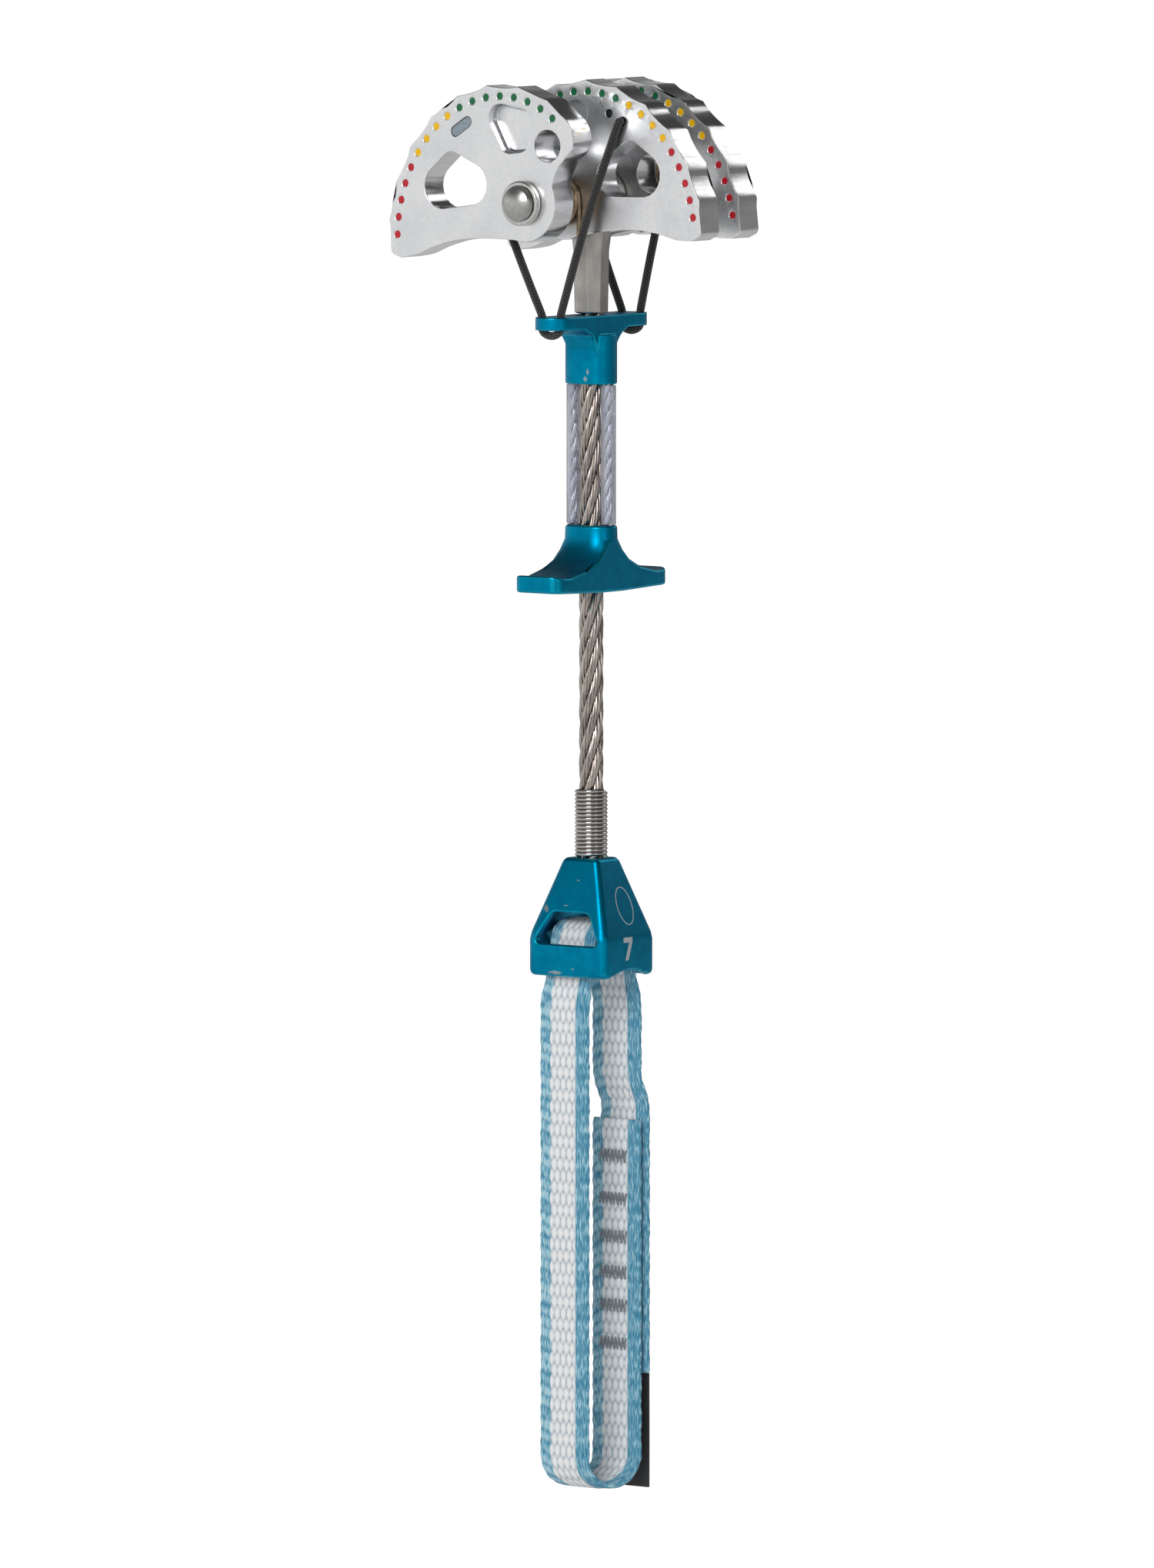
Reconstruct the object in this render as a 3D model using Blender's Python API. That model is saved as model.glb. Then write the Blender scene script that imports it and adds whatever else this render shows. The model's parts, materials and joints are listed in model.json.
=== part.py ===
"""Four-lobe spring-loaded camming device with a single cable stem and a sewn sling.

X is the way the lobes open, Y is the axle, and Z is up the stem. The origin is the axle's centre.
"""

import math

import bmesh
import bpy
from mathutils import Matrix, Vector

MM = 0.001

# Axle and the stack along it
AXLE_R = 2.5 * MM
RUNNING_GAP = 0.08 * MM
FIXED_GAP = 0.2 * MM
LOBE_THICK = 5.8 * MM
LOBE_SPACE = 5.9 * MM
WASHER_R = 4.15 * MM
WASHER_THICK = 1.3 * MM
HEAD_R = 3.45 * MM
HEAD_RISE = 1.8 * MM
SPRING_COIL_R = 4.35 * MM
SPRING_WIRE_R = 0.4 * MM
SPRING_TURNS = 5
SPRING_LEG = 6.5 * MM
BUSH_R = 3.5 * MM

# Lobe profile, about the axle, for a lobe whose tip points along -X
CAM_R = 30.73 * MM
CAM_SLOPE = math.tan(math.radians(13.25))
TIP_ANGLE = math.radians(-16.6)
FIRST_CREST = math.radians(-6.8)
TOOTH_PITCH = 7.3 * MM
TOOTH_STEP = 1.7 * MM
TOOTH_DEPTH = 0.3 * MM
TOOTH_HOLLOW = 0.22 * MM
TEETH = 8
TIP_ROUND = 1.3 * MM
HUB_R = 7.2 * MM
LUG_AT = (5.9 * MM, 11.7 * MM)
LUG_R = 5.5 * MM
LUG_HOLE_AT = (5.44 * MM, 10.7 * MM)
LUG_HOLE_R = 2.95 * MM
POCKET_DEPTH = 2.2 * MM
SLOT_R = 1.0 * MM
SLOT_DEPTH = 1.6 * MM
CORD_HOLE_AT = (-15.9 * MM, 12.9 * MM)
CORD_RETURN_AT = (-13.1 * MM, 14.7 * MM)
INNER_LOBE_LEAD = math.radians(8.4)

# Stem
CABLE_R = 2.3 * MM
STEM_HUB_R = 6.0 * MM
SHANK_HALF = CABLE_R + 0.7 * MM
STEM_HALF_Y = SHANK_HALF
INNER_LOBE_Y = STEM_HALF_Y + FIXED_GAP
SHANK_BOTTOM = -21.1 * MM
SHANK_FLARE = ((-4.5 * MM, 1.35), (-9.0 * MM, 1.1), (SHANK_BOTTOM, 1.0))
CABLE_TOP = -14.0 * MM
CABLE_BOTTOM = -131.0 * MM

# Trigger
BAR_TOP = -21.4 * MM
BAR_THICK = 2.4 * MM
BAR_HALF_Y = 14.8 * MM
BAR_HALF_X = 3.7 * MM
TUBE_R = 1.4 * MM
TUBE_X = CABLE_R + TUBE_R + 0.3 * MM
NECK_HALF_X = TUBE_X + 1.2 * MM
NECK_HALF_Y = 3.4 * MM
UPPER_NECK_BOTTOM = -34.2 * MM
LOWER_NECK_TOP = -60.4 * MM
FINGER_TOP = -69.4 * MM
FINGER_THICK = 3.3 * MM
FINGER_HALF_Y = 17.6 * MM
FINGER_HALF_X = NECK_HALF_X + 0.1 * MM
FINGER_CORNER = 2.4 * MM
FINGER_LIP = 0.5 * MM
TUBE_BORE_R = 0.95 * MM
WIRE_R = 0.75 * MM
WIRE_SOCKET = 4.0 * MM
SOCKET_GAP = 0.15 * MM
SLIDE_GAP = 0.25 * MM
CORD_X = 2.2 * MM
CORD_Y = 12.3 * MM
CORD_R = 0.75 * MM
CORD_EYE_R = 1.0 * MM
CORD_PIVOT_Z = BAR_TOP + 0.4 * MM
CORD_SEAT = 0.5 * MM
BIGHT_DEPTH = 0.705 * CORD_X
CORD_END_GAP = 0.35 * MM

# Stem's lower end
COIL_TOP = -109.4 * MM
COIL_BOTTOM = -122.2 * MM
COIL_WIRE_R = 0.34 * MM
COIL_R = CABLE_R + 2 * COIL_WIRE_R + 0.12 * MM
COIL_TURNS = 17
BLOCK_TOP = -122.3 * MM
BLOCK_SHOULDER = -136.8 * MM
BLOCK_BOTTOM = -144.2 * MM
BLOCK_TOP_HALF = (4.0 * MM, 3.6 * MM)
BLOCK_HALF = (9.0 * MM, 7.9 * MM)
BLOCK_WALL = (1.6 * MM, 1.5 * MM)
BLOCK_EDGE = 0.7 * MM
CAVITY_ROOF = -131.2 * MM
WINDOW_TOP = -132.3 * MM
WINDOW_BOTTOM = -138.2 * MM
WINDOW_HALF_TOP = 4.7 * MM
WINDOW_HALF_BOTTOM = 7.2 * MM
WINDOW_CORNER = 1.3 * MM
ARCH_R = 14.0 * MM
ARCH_RISE = 1.3 * MM
CROSSBAR_Z = -137.8 * MM
CROSSBAR_R = 2.6 * MM
CROSSBAR_SEAT = 1.0 * MM
STOP_R = CABLE_R + 0.8 * MM
STOP_TOP = -127.2 * MM

# Sling
WEB_HALF_WIDTH = 5.5 * MM
WEB_THICK = 1.6 * MM
WEB_GAP = 0.3 * MM
SLING_BOTTOM = -240.4 * MM
SLING_HALF_GAP = 5.5 * MM
SLING_SKEW = 0.35
INNER_END = -171.5 * MM
OUTER_END = -219.0 * MM
TAG_TOP = -213.0 * MM
TAG_BOTTOM = -240.6 * MM
TAG_HALF_WIDTH = 4.2 * MM
TAG_THICK = 0.6 * MM

ROUND = 40
SMALL_ROUND = 20

FINISHES = {
    "polished_alloy": ((0.78, 0.79, 0.80), 0.28, 1.0),
    "bright_steel": ((0.62, 0.62, 0.60), 0.25, 1.0),
    "stem_steel": ((0.42, 0.40, 0.38), 0.38, 1.0),
    "cable_steel": ((0.50, 0.50, 0.50), 0.35, 1.0),
    "bronze_wire": ((0.38, 0.26, 0.14), 0.40, 1.0),
    "teal_anodised": ((0.02, 0.30, 0.42), 0.33, 1.0),
    "black_cord": ((0.02, 0.02, 0.022), 0.85, 0.0),
    "clear_tube": ((0.80, 0.82, 0.80), 0.20, 0.0),
    "blue_webbing": ((0.20, 0.34, 0.72), 0.80, 0.0),
    "black_label": ((0.03, 0.03, 0.035), 0.80, 0.0),
    "anchor_grey": ((0.30, 0.36, 0.42), 0.55, 0.0),
}


def clear_scene():
    """Removes every object that the scene starts with."""
    for item in list(bpy.data.objects):
        bpy.data.objects.remove(item, do_unlink=True)


def finish(name):
    """A Principled material with the named colour, roughness and metallic value."""
    found = bpy.data.materials.get(name)
    if found:
        return found
    colour, roughness, metallic = FINISHES[name]
    made = bpy.data.materials.new(name)
    made.use_nodes = True
    shader = made.node_tree.nodes["Principled BSDF"]
    shader.inputs["Base Color"].default_value = (*colour, 1.0)
    shader.inputs["Roughness"].default_value = roughness
    shader.inputs["Metallic"].default_value = metallic
    return made


def add_mesh(name, body, look=None):
    """A new object from a bmesh, with its faces turned outward."""
    bmesh.ops.recalc_face_normals(body, faces=body.faces)
    mesh = bpy.data.meshes.new(name)
    body.to_mesh(mesh)
    body.free()
    made = bpy.data.objects.new(name, mesh)
    bpy.context.scene.collection.objects.link(made)
    if look:
        mesh.materials.append(finish(look))
    return made


def shade_round(item):
    """Smooth shading with the sharp edges kept."""
    item.data.shade_smooth()
    item.data.set_sharp_from_angle(angle=math.radians(35))


def apply_boolean(target, tool, operation):
    """Cuts or joins the target with a tool object, then removes the tool."""
    step = target.modifiers.new(operation, "BOOLEAN")
    step.operation = operation
    step.solver = "EXACT"
    step.object = tool
    graph = bpy.context.evaluated_depsgraph_get()
    result = bpy.data.meshes.new_from_object(target.evaluated_get(graph))
    target.modifiers.clear()
    old = target.data
    target.data = result
    result.name = old.name
    bpy.data.meshes.remove(old)
    bpy.data.objects.remove(tool, do_unlink=True)


def cut(target, *tools):
    """Takes each tool's shape away from the target."""
    for tool in tools:
        apply_boolean(target, tool, "DIFFERENCE")


def join(target, *tools):
    """Adds each tool's shape to the target."""
    for tool in tools:
        apply_boolean(target, tool, "UNION")


def on_axis(points, axis, depth):
    """Outline points placed on the plane that is square to an axis, at a depth along it."""
    if axis == "X":
        return [Vector((depth, a, b)) for a, b in points]
    if axis == "Y":
        return [Vector((a, depth, b)) for a, b in points]
    return [Vector((a, b, depth)) for a, b in points]


def prism(name, points, axis, start, end, look=None):
    """A flat outline pushed along an axis from start to end."""
    body = bmesh.new()
    low = [body.verts.new(p) for p in on_axis(points, axis, start)]
    high = [body.verts.new(p) for p in on_axis(points, axis, end)]
    body.faces.new(low)
    body.faces.new(high)
    count = len(points)
    for i in range(count):
        j = (i + 1) % count
        body.faces.new((low[i], low[j], high[j], high[i]))
    return add_mesh(name, body, look)


def loft(name, rings, look=None):
    """A closed solid through a stack of rings that hold the same number of points."""
    body = bmesh.new()
    rows = [[body.verts.new(p) for p in ring] for ring in rings]
    count = len(rings[0])
    body.faces.new(rows[0])
    body.faces.new(rows[-1])
    for low, high in zip(rows, rows[1:]):
        for i in range(count):
            j = (i + 1) % count
            body.faces.new((low[i], low[j], high[j], high[i]))
    return add_mesh(name, body, look)


def arc(centre, radius, start, end, steps):
    """Points along an arc, with both ends."""
    turn = [start + (end - start) * i / steps for i in range(steps + 1)]
    return [(centre[0] + radius * math.cos(t), centre[1] + radius * math.sin(t)) for t in turn]


def circle(centre, radius, steps=ROUND):
    """Points once round a circle."""
    return arc(centre, radius, 0.0, 2 * math.pi, steps)[:-1]


def smooth_line(points, steps):
    """A Catmull-Rom curve through the points, with the last one left out."""
    ends = [points[0], *points, points[-1]]
    made = []
    for a, b, c, d in zip(ends, ends[1:], ends[2:], ends[3:]):
        for i in range(steps):
            t = i / steps
            made.append(tuple(catmull_rom(*corner, t) for corner in zip(a, b, c, d)))
    return made


def catmull_rom(p, q, r, s, t):
    """One coordinate of a Catmull-Rom curve, between q and r."""
    bend = (2 * p - 5 * q + 4 * r - s) * t**2
    swing = (3 * q - p - 3 * r + s) * t**3
    return 0.5 * (2 * q + (r - p) * t + bend + swing)


def hull_outline(circles, steps=SMALL_ROUND):
    """The convex outline round a set of circles."""
    cloud = sorted(p for centre, radius in circles for p in circle(centre, radius, steps))
    chains = []
    for ordered in (cloud, cloud[::-1]):
        chain = []
        for p in ordered:
            while len(chain) > 1 and turn_of(chain[-2], chain[-1], p) <= 0:
                chain.pop()
            chain.append(p)
        chains += chain[:-1]
    return chains


def turn_of(a, b, c):
    """Positive where a, b, c turn to the left."""
    return (b[0] - a[0]) * (c[1] - a[1]) - (b[1] - a[1]) * (c[0] - a[0])


def rod(name, radius, start, end, axis="Z", look=None, steps=ROUND, at=(0.0, 0.0)):
    """A round bar along an axis."""
    return prism(name, circle(at, radius, steps), axis, start, end, look)


def ring(name, outer, inner, start, end, axis, look, steps=ROUND, at=(0.0, 0.0)):
    """A round bar with a hole along it."""
    made = rod(name, outer, start, end, axis, look, steps, at)
    margin = outer
    low, high = min(start, end) - margin, max(start, end) + margin
    cut(made, rod("bore", inner, low, high, axis, steps=steps, at=at))
    shade_round(made)
    return made


def turned_along_y(name, profile, look, steps=ROUND):
    """A solid of revolution about Y, from (y, radius) pairs that start and end on the axis."""
    body = bmesh.new()
    rows = []
    for y, radius in profile:
        if radius == 0.0:
            rows.append([body.verts.new((0.0, y, 0.0))])
        else:
            rows.append([body.verts.new((a, y, b)) for a, b in circle((0.0, 0.0), radius, steps)])
    for low, high in zip(rows, rows[1:]):
        for i in range(steps):
            j = (i + 1) % steps
            corners = [low[i % len(low)], low[j % len(low)], high[j % len(high)], high[i % len(high)]]
            body.faces.new(list(dict.fromkeys(corners)))
    return add_mesh(name, body, look)


def tube_along(name, points, radius, look, sides=1):
    """A round cord or wire through the points, with closed ends."""
    curve = bpy.data.curves.new(name, "CURVE")
    curve.dimensions = "3D"
    curve.bevel_depth = radius
    curve.bevel_resolution = sides
    curve.use_fill_caps = True
    line = curve.splines.new("POLY")
    line.points.add(len(points) - 1)
    for point, place in zip(line.points, points):
        point.co = (*place, 1.0)
    curve.materials.append(finish(look))
    made = bpy.data.objects.new(name, curve)
    bpy.context.scene.collection.objects.link(made)
    return made


def flipped(points, side):
    """An outline as it is for side -1, and mirrored in X for side +1."""
    return [(-side * a, b) for a, b in points]


def cam_point(angle, inset=0.0):
    """A point on the logarithmic spiral, at an angle above -X."""
    radius = CAM_R * math.exp(-CAM_SLOPE * angle) - inset
    return (-radius * math.cos(angle), radius * math.sin(angle))


def cam_angle_after(angle, distance):
    """The angle reached after a distance along the spiral, away from the tip."""
    radius = CAM_R * math.exp(-CAM_SLOPE * angle)
    shrink = distance * math.sin(math.atan(CAM_SLOPE))
    return math.log(CAM_R / (radius - shrink)) / CAM_SLOPE


def hollow_ramp(valley, crest):
    """The concave run from a tooth's valley up to the next crest, both given as cam angles."""
    made = []
    for t in (0.25, 0.5, 0.75):
        inset = TOOTH_DEPTH * (1 - t) + TOOTH_HOLLOW * 4 * t * (1 - t)
        made.append(cam_point(valley + (crest - valley) * t, inset))
    return made


def toothed_edge():
    """The serrated working edge, from the lug to the tip corner."""
    made = []
    for tooth in reversed(range(TEETH)):
        crest = cam_angle_after(FIRST_CREST, TOOTH_PITCH * tooth)
        valley = cam_angle_after(crest, -TOOTH_STEP)
        made += [cam_point(crest), cam_point(valley, TOOTH_DEPTH)]
        if tooth:
            made += hollow_ramp(valley, cam_angle_after(FIRST_CREST, TOOTH_PITCH * (tooth - 1)))
    return made


def lobe_outline():
    """The lobe's whole outline, for a tip that points along -X."""
    tip = cam_point(TIP_ANGLE)
    tip_centre = (tip[0] + 1.45 * TIP_ROUND, tip[1] + 0.15 * TIP_ROUND)
    corner = arc(tip_centre, TIP_ROUND, math.radians(170), math.radians(265), 4)
    under = [(-28.6, -10.85), (-24.9, -10.2), (-21.4, -8.8), (-16.3, -7.4), (-10.3, -6.8), (-5.6, -6.75)]
    underside = smooth_line([(a * MM, b * MM) for a, b in under], 4)
    hub = arc((0.0, 0.0), HUB_R, math.radians(-108), math.radians(26), 12)
    neck = smooth_line([(a * MM, b * MM) for a, b in [(6.8, 4.6), (8.0, 7.0), (10.3, 9.3)]], 2)
    lug = arc(LUG_AT, LUG_R, math.radians(-14), math.radians(62), 6)
    return toothed_edge() + corner + underside + hub + neck + lug


def teardrop_outline():
    """The large weight-saving hole."""
    return hull_outline([
        ((-18.9 * MM, 2.6 * MM), 4.1 * MM),
        ((-12.6 * MM, 3.2 * MM), 3.9 * MM),
        ((-16.8 * MM, 6.7 * MM), 2.4 * MM),
    ])


def pocket_outline():
    """The blind pocket between the hub and the toothed edge."""
    return hull_outline([
        ((-5.5 * MM, 15.6 * MM), 2.6 * MM),
        ((-1.0 * MM, 14.9 * MM), 2.6 * MM),
        ((-1.3 * MM, 11.9 * MM), 2.6 * MM),
        ((-3.4 * MM, 11.6 * MM), 2.5 * MM),
    ])


def slot_outline(radius):
    """The slot that holds the cord's anchor."""
    return hull_outline([(CORD_HOLE_AT, radius), (CORD_RETURN_AT, radius)], 12)


def lobe(name, side, slot_face, cord_face, lead):
    """A cam lobe whose tip points to side, with its slot in one face and its cord holes in the other."""
    made = prism(name, flipped(lobe_outline(), side), "Y", slot_face, cord_face, "polished_alloy")
    inward = math.copysign(1.0, cord_face - slot_face)
    over = inward * MM
    through = (slot_face - over, cord_face + over)
    pocket = flipped(pocket_outline(), side)
    slot = flipped(slot_outline(SLOT_R), side)
    cut(
        made,
        rod("bore", AXLE_R + RUNNING_GAP, *through, "Y"),
        rod("lug_hole", LUG_HOLE_R, *through, "Y", at=flipped([LUG_HOLE_AT], side)[0]),
        prism("teardrop", flipped(teardrop_outline(), side), "Y", *through),
        prism("pocket", pocket, "Y", slot_face - over, slot_face + inward * POCKET_DEPTH),
        prism("pocket", pocket, "Y", cord_face - inward * POCKET_DEPTH, cord_face + over),
        prism("slot", slot, "Y", slot_face - over, slot_face + inward * SLOT_DEPTH),
    )
    floor = slot_face + 0.5 * inward * SLOT_DEPTH
    for hole in flipped([CORD_HOLE_AT, CORD_RETURN_AT], side):
        cut(made, rod("cord_hole", CORD_R, floor, cord_face + over, "Y", steps=12, at=hole))
    made.rotation_euler = (0.0, side * -lead, 0.0)
    shade_round(made)
    return made


def cord_anchor(name, side, slot_face, inward, lead):
    """The anchor that fills the lobe's slot."""
    shape = flipped(slot_outline(SLOT_R - FIXED_GAP / 2), side)
    start = slot_face + inward * FIXED_GAP
    made = prism(name, shape, "Y", start, slot_face + inward * (SLOT_DEPTH - FIXED_GAP / 2), "anchor_grey")
    made.rotation_euler = (0.0, side * -lead, 0.0)
    return made


def lobes():
    """The four lobes with their anchors: the inner pair opens to +X and the outer pair to -X."""
    inner = (INNER_LOBE_Y, INNER_LOBE_Y + LOBE_THICK)
    outer = (inner[1] + LOBE_SPACE, inner[1] + LOBE_SPACE + LOBE_THICK)
    for row, end in (("front", -1), ("back", 1)):
        near, far = end * outer[0], end * outer[1]
        lobe(f"lobe_{row}_outer", -1, far, near, 0.0)
        cord_anchor(f"cord_anchor_{row}_outer", -1, far, -end, 0.0)
        near, far = end * inner[0], end * inner[1]
        lobe(f"lobe_{row}_inner", 1, near, far, INNER_LOBE_LEAD)
        cord_anchor(f"cord_anchor_{row}_inner", 1, near, end, INNER_LOBE_LEAD)


def outer_face():
    """Distance from the centre to an outer lobe's outer face."""
    return INNER_LOBE_Y + 2 * LOBE_THICK + LOBE_SPACE


def axle():
    """The axle with a domed head formed at each end."""
    seat = outer_face() + 2 * FIXED_GAP + WASHER_THICK
    half = [(seat + HEAD_RISE * math.sin(t), HEAD_R * math.cos(t)) for t in (0.0, 0.5, 0.95, 1.3)]
    crown = (seat + HEAD_RISE, 0.0)
    right = [(seat, AXLE_R), *half, crown]
    left = [(-y, r) for y, r in reversed(right)]
    made = turned_along_y("axle", left + right, "bright_steel")
    shade_round(made)


def washers():
    """A washer between each outer lobe and the axle's head."""
    start = outer_face() + FIXED_GAP
    for row, end in (("front", -1), ("back", 1)):
        span = (end * start, end * (start + WASHER_THICK))
        ring(f"washer_{row}", WASHER_R, AXLE_R + FIXED_GAP / 2, *span, "Y", "bright_steel")


def bushes():
    """A spacer bush inside each torsion spring."""
    start = INNER_LOBE_Y + LOBE_THICK + FIXED_GAP
    stop = start + LOBE_SPACE - 2 * FIXED_GAP
    for row, end in (("front", -1), ("back", 1)):
        span = (end * start, end * stop)
        ring(f"spacer_bush_{row}", BUSH_R, AXLE_R + FIXED_GAP / 2, *span, "Y", "stem_steel")


def torsion_springs():
    """A torsion spring between each pair of lobes, with one leg toward each lobe of the pair."""
    middle = INNER_LOBE_Y + LOBE_THICK + LOBE_SPACE / 2
    length = LOBE_SPACE - 2 * FIXED_GAP - 2 * SPRING_WIRE_R
    steps = 16 * SPRING_TURNS
    for row, end in (("front", -1), ("back", 1)):
        coil = []
        for i in range(steps + 1):
            turn = 2 * math.pi * SPRING_TURNS * i / steps
            y = middle + length * (i / steps - 0.5)
            coil.append((SPRING_COIL_R * math.cos(turn), end * y, SPRING_COIL_R * math.sin(turn)))
        first = (coil[0][0], coil[0][1], -SPRING_LEG)
        last = (coil[-1][0], coil[-1][1], SPRING_LEG)
        tube_along(f"torsion_spring_{row}", [first, *coil, last], SPRING_WIRE_R, "bronze_wire")


def stem_head():
    """The steel end that is fixed on the cable and rides on the axle."""
    made = rod("stem_head", STEM_HUB_R, -STEM_HALF_Y, STEM_HALF_Y, "Y", "stem_steel")
    corner = SHANK_HALF * math.tan(math.pi / 8)
    flare = [[(a * wide, b, z) for a, b in octagon(SHANK_HALF, corner)] for z, wide in SHANK_FLARE]
    join(made, loft("shank", flare))
    cut(
        made,
        rod("axle_bore", AXLE_R + FIXED_GAP / 2, -2 * STEM_HALF_Y, 2 * STEM_HALF_Y, "Y"),
        rod("cable_bore", CABLE_R + FIXED_GAP / 2, CABLE_TOP + FIXED_GAP, SHANK_BOTTOM - MM, "Z"),
    )
    shade_round(made)


def octagon(half, corner):
    """An octagon's points, half wide across its flats."""
    right = [(half, -corner), (half, corner), (corner, half), (-corner, half)]
    return right + [(-a, -b) for a, b in right]


def cable():
    """The stem's wire rope, as its round outer shape."""
    made = rod("stem_cable", CABLE_R, CABLE_BOTTOM, CABLE_TOP, "Z", "cable_steel", 24)
    shade_round(made)


def stadium(half_x, half_y, steps=8):
    """A slot shape with round ends along its longer side."""
    radius = min(half_x, half_y)
    long_x = half_x > half_y
    reach = max(half_x, half_y) - radius
    first = -math.pi / 2 if long_x else 0.0
    centre = (reach, 0.0) if long_x else (0.0, reach)
    right = arc(centre, radius, first, first + math.pi, steps)
    return right + [(-a, -b) for a, b in right]


def bell(name, rows, flip=1):
    """A stadium that widens along the stem, from (height, growth) pairs."""
    rings = []
    for z, grow in rows:
        outline = stadium(NECK_HALF_X + grow, NECK_HALF_Y + grow)
        rings.append([(a, b, z) for a, b in outline])
    return loft(name, rings[::flip])


def keep_inside(target, mould):
    """Keeps only the part of the target that lies inside the mould."""
    apply_boolean(target, mould, "INTERSECT")


def trigger_cuts(low, high, socket_open, socket_shut):
    """Cutters for the stem cable's bore and the two wire sockets."""
    made = [rod("bore", CABLE_R + SLIDE_GAP, low, high, "Z", steps=24)]
    for side in (-1, 1):
        at = (side * TUBE_X, 0.0)
        made.append(rod("socket", WIRE_R + SOCKET_GAP, socket_open, socket_shut, "Z", steps=12, at=at))
    return made


def upper_bar():
    """The trigger's upper bar, whose wings hold the cords."""
    bottom = BAR_TOP - BAR_THICK
    shoulder = bottom - 1.2 * MM
    rows = [
        (bottom - 6.0 * MM, -0.3 * MM),
        (bottom - 3.2 * MM, 0.2 * MM),
        (bottom - 1.2 * MM, 1.4 * MM),
        (bottom - 0.3 * MM, 3.2 * MM),
        (bottom + 0.6 * MM, 4.4 * MM),
    ]
    made = bell("trigger_upper_bar", rows)
    made.data.materials.append(finish("teal_anodised"))
    join(made, prism("wings", stadium(BAR_HALF_X, BAR_HALF_Y), "Z", bottom, BAR_TOP))
    keep_inside(made, prism("mould", stadium(BAR_HALF_X, BAR_HALF_Y), "Z", bottom - 9 * MM, BAR_TOP + MM))
    join(made, prism("neck", stadium(NECK_HALF_X, NECK_HALF_Y), "Z", UPPER_NECK_BOTTOM, shoulder))
    cut(made, *trigger_cuts(
        UPPER_NECK_BOTTOM - MM, BAR_TOP + MM, UPPER_NECK_BOTTOM - MM, UPPER_NECK_BOTTOM + WIRE_SOCKET
    ))
    for x in (-CORD_X, CORD_X):
        for y in (-CORD_Y, CORD_Y):
            cut(made, rod("eye", CORD_EYE_R, bottom - MM, BAR_TOP + MM, "Z", steps=12, at=(x, y)))
    shade_round(made)
    return made


def rounded_outline(half_x, half_y, edge):
    """A rectangle's outline with rounded corners."""
    return [(a, b) for a, b, _ in rounded_box_ring(half_x, half_y, 0.0, edge)]


def lower_bar():
    """The trigger's finger bar, which sweeps up into the neck."""
    bottom = FINGER_TOP - FINGER_THICK
    rows = [
        (LOWER_NECK_TOP, 0.0),
        (LOWER_NECK_TOP - 2.6 * MM, 0.1 * MM),
        (LOWER_NECK_TOP - 4.6 * MM, 1.0 * MM),
        (LOWER_NECK_TOP - 6.4 * MM, 2.7 * MM),
        (FINGER_TOP + 1.0 * MM, 5.6 * MM),
        (FINGER_TOP + 0.2 * MM, 9.4 * MM),
        (FINGER_TOP - 0.5 * MM, 11.5 * MM),
        (bottom + MM, 11.5 * MM),
    ]
    made = bell("trigger_lower_bar", rows, -1)
    made.data.materials.append(finish("teal_anodised"))
    wings = [(FINGER_HALF_Y, FINGER_TOP + FINGER_LIP), (FINGER_HALF_Y - FINGER_CORNER, FINGER_TOP)]
    wings = [*wings, *[(-a, b) for a, b in reversed(wings)]]
    wings += [(-FINGER_HALF_Y, bottom + FINGER_LIP), (-NECK_HALF_Y, bottom)]
    wings += [(NECK_HALF_Y, bottom), (FINGER_HALF_Y, bottom + FINGER_LIP)]
    join(made, prism("wings", wings, "X", -FINGER_HALF_X, FINGER_HALF_X))
    outline = rounded_outline(FINGER_HALF_X, FINGER_HALF_Y, FINGER_CORNER)
    keep_inside(made, prism("mould", outline, "Z", bottom - MM, LOWER_NECK_TOP + MM))
    above = LOWER_NECK_TOP + MM
    cut(made, *trigger_cuts(bottom - MM, above, LOWER_NECK_TOP - WIRE_SOCKET, above))
    shade_round(made)
    return made


def trigger_links():
    """The two wires between the bars, each in its clear tube."""
    made = []
    slack = 0.4 * MM
    low = LOWER_NECK_TOP - WIRE_SOCKET + slack
    high = UPPER_NECK_BOTTOM + WIRE_SOCKET - slack
    for row, side in (("left", -1), ("right", 1)):
        at = (side * TUBE_X, 0.0)
        wire = rod(f"trigger_wire_{row}", WIRE_R, low, high, "Z", "cable_steel", 12, at)
        span = (LOWER_NECK_TOP + FIXED_GAP, UPPER_NECK_BOTTOM - FIXED_GAP)
        tube = ring(f"clear_tube_{row}", TUBE_R, TUBE_BORE_R, *span, "Z", "clear_tube", 16, at)
        made += [wire, tube]
    return made


def cord_loops():
    """The short bights of cord that pass down one eye and up the other."""
    made = []
    start = CORD_PIVOT_Z - CORD_END_GAP
    turn = BAR_TOP - BAR_THICK + CORD_SEAT
    for row, end in (("front", -1), ("back", 1)):
        bight = arc((0.0, turn), CORD_X, math.pi, 2 * math.pi, 8)
        squash = [(a, turn + (b - turn) * BIGHT_DEPTH / CORD_X) for a, b in bight]
        middle = (start + turn) / 2
        route = [(-CORD_X, start), (-CORD_X, middle), *squash, (CORD_X, middle), (CORD_X, start)]
        points = [(a, end * CORD_Y, b) for a, b in route]
        made.append(tube_along(f"cord_loop_{row}", points, CORD_R, "black_cord", 2))
    return made


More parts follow.
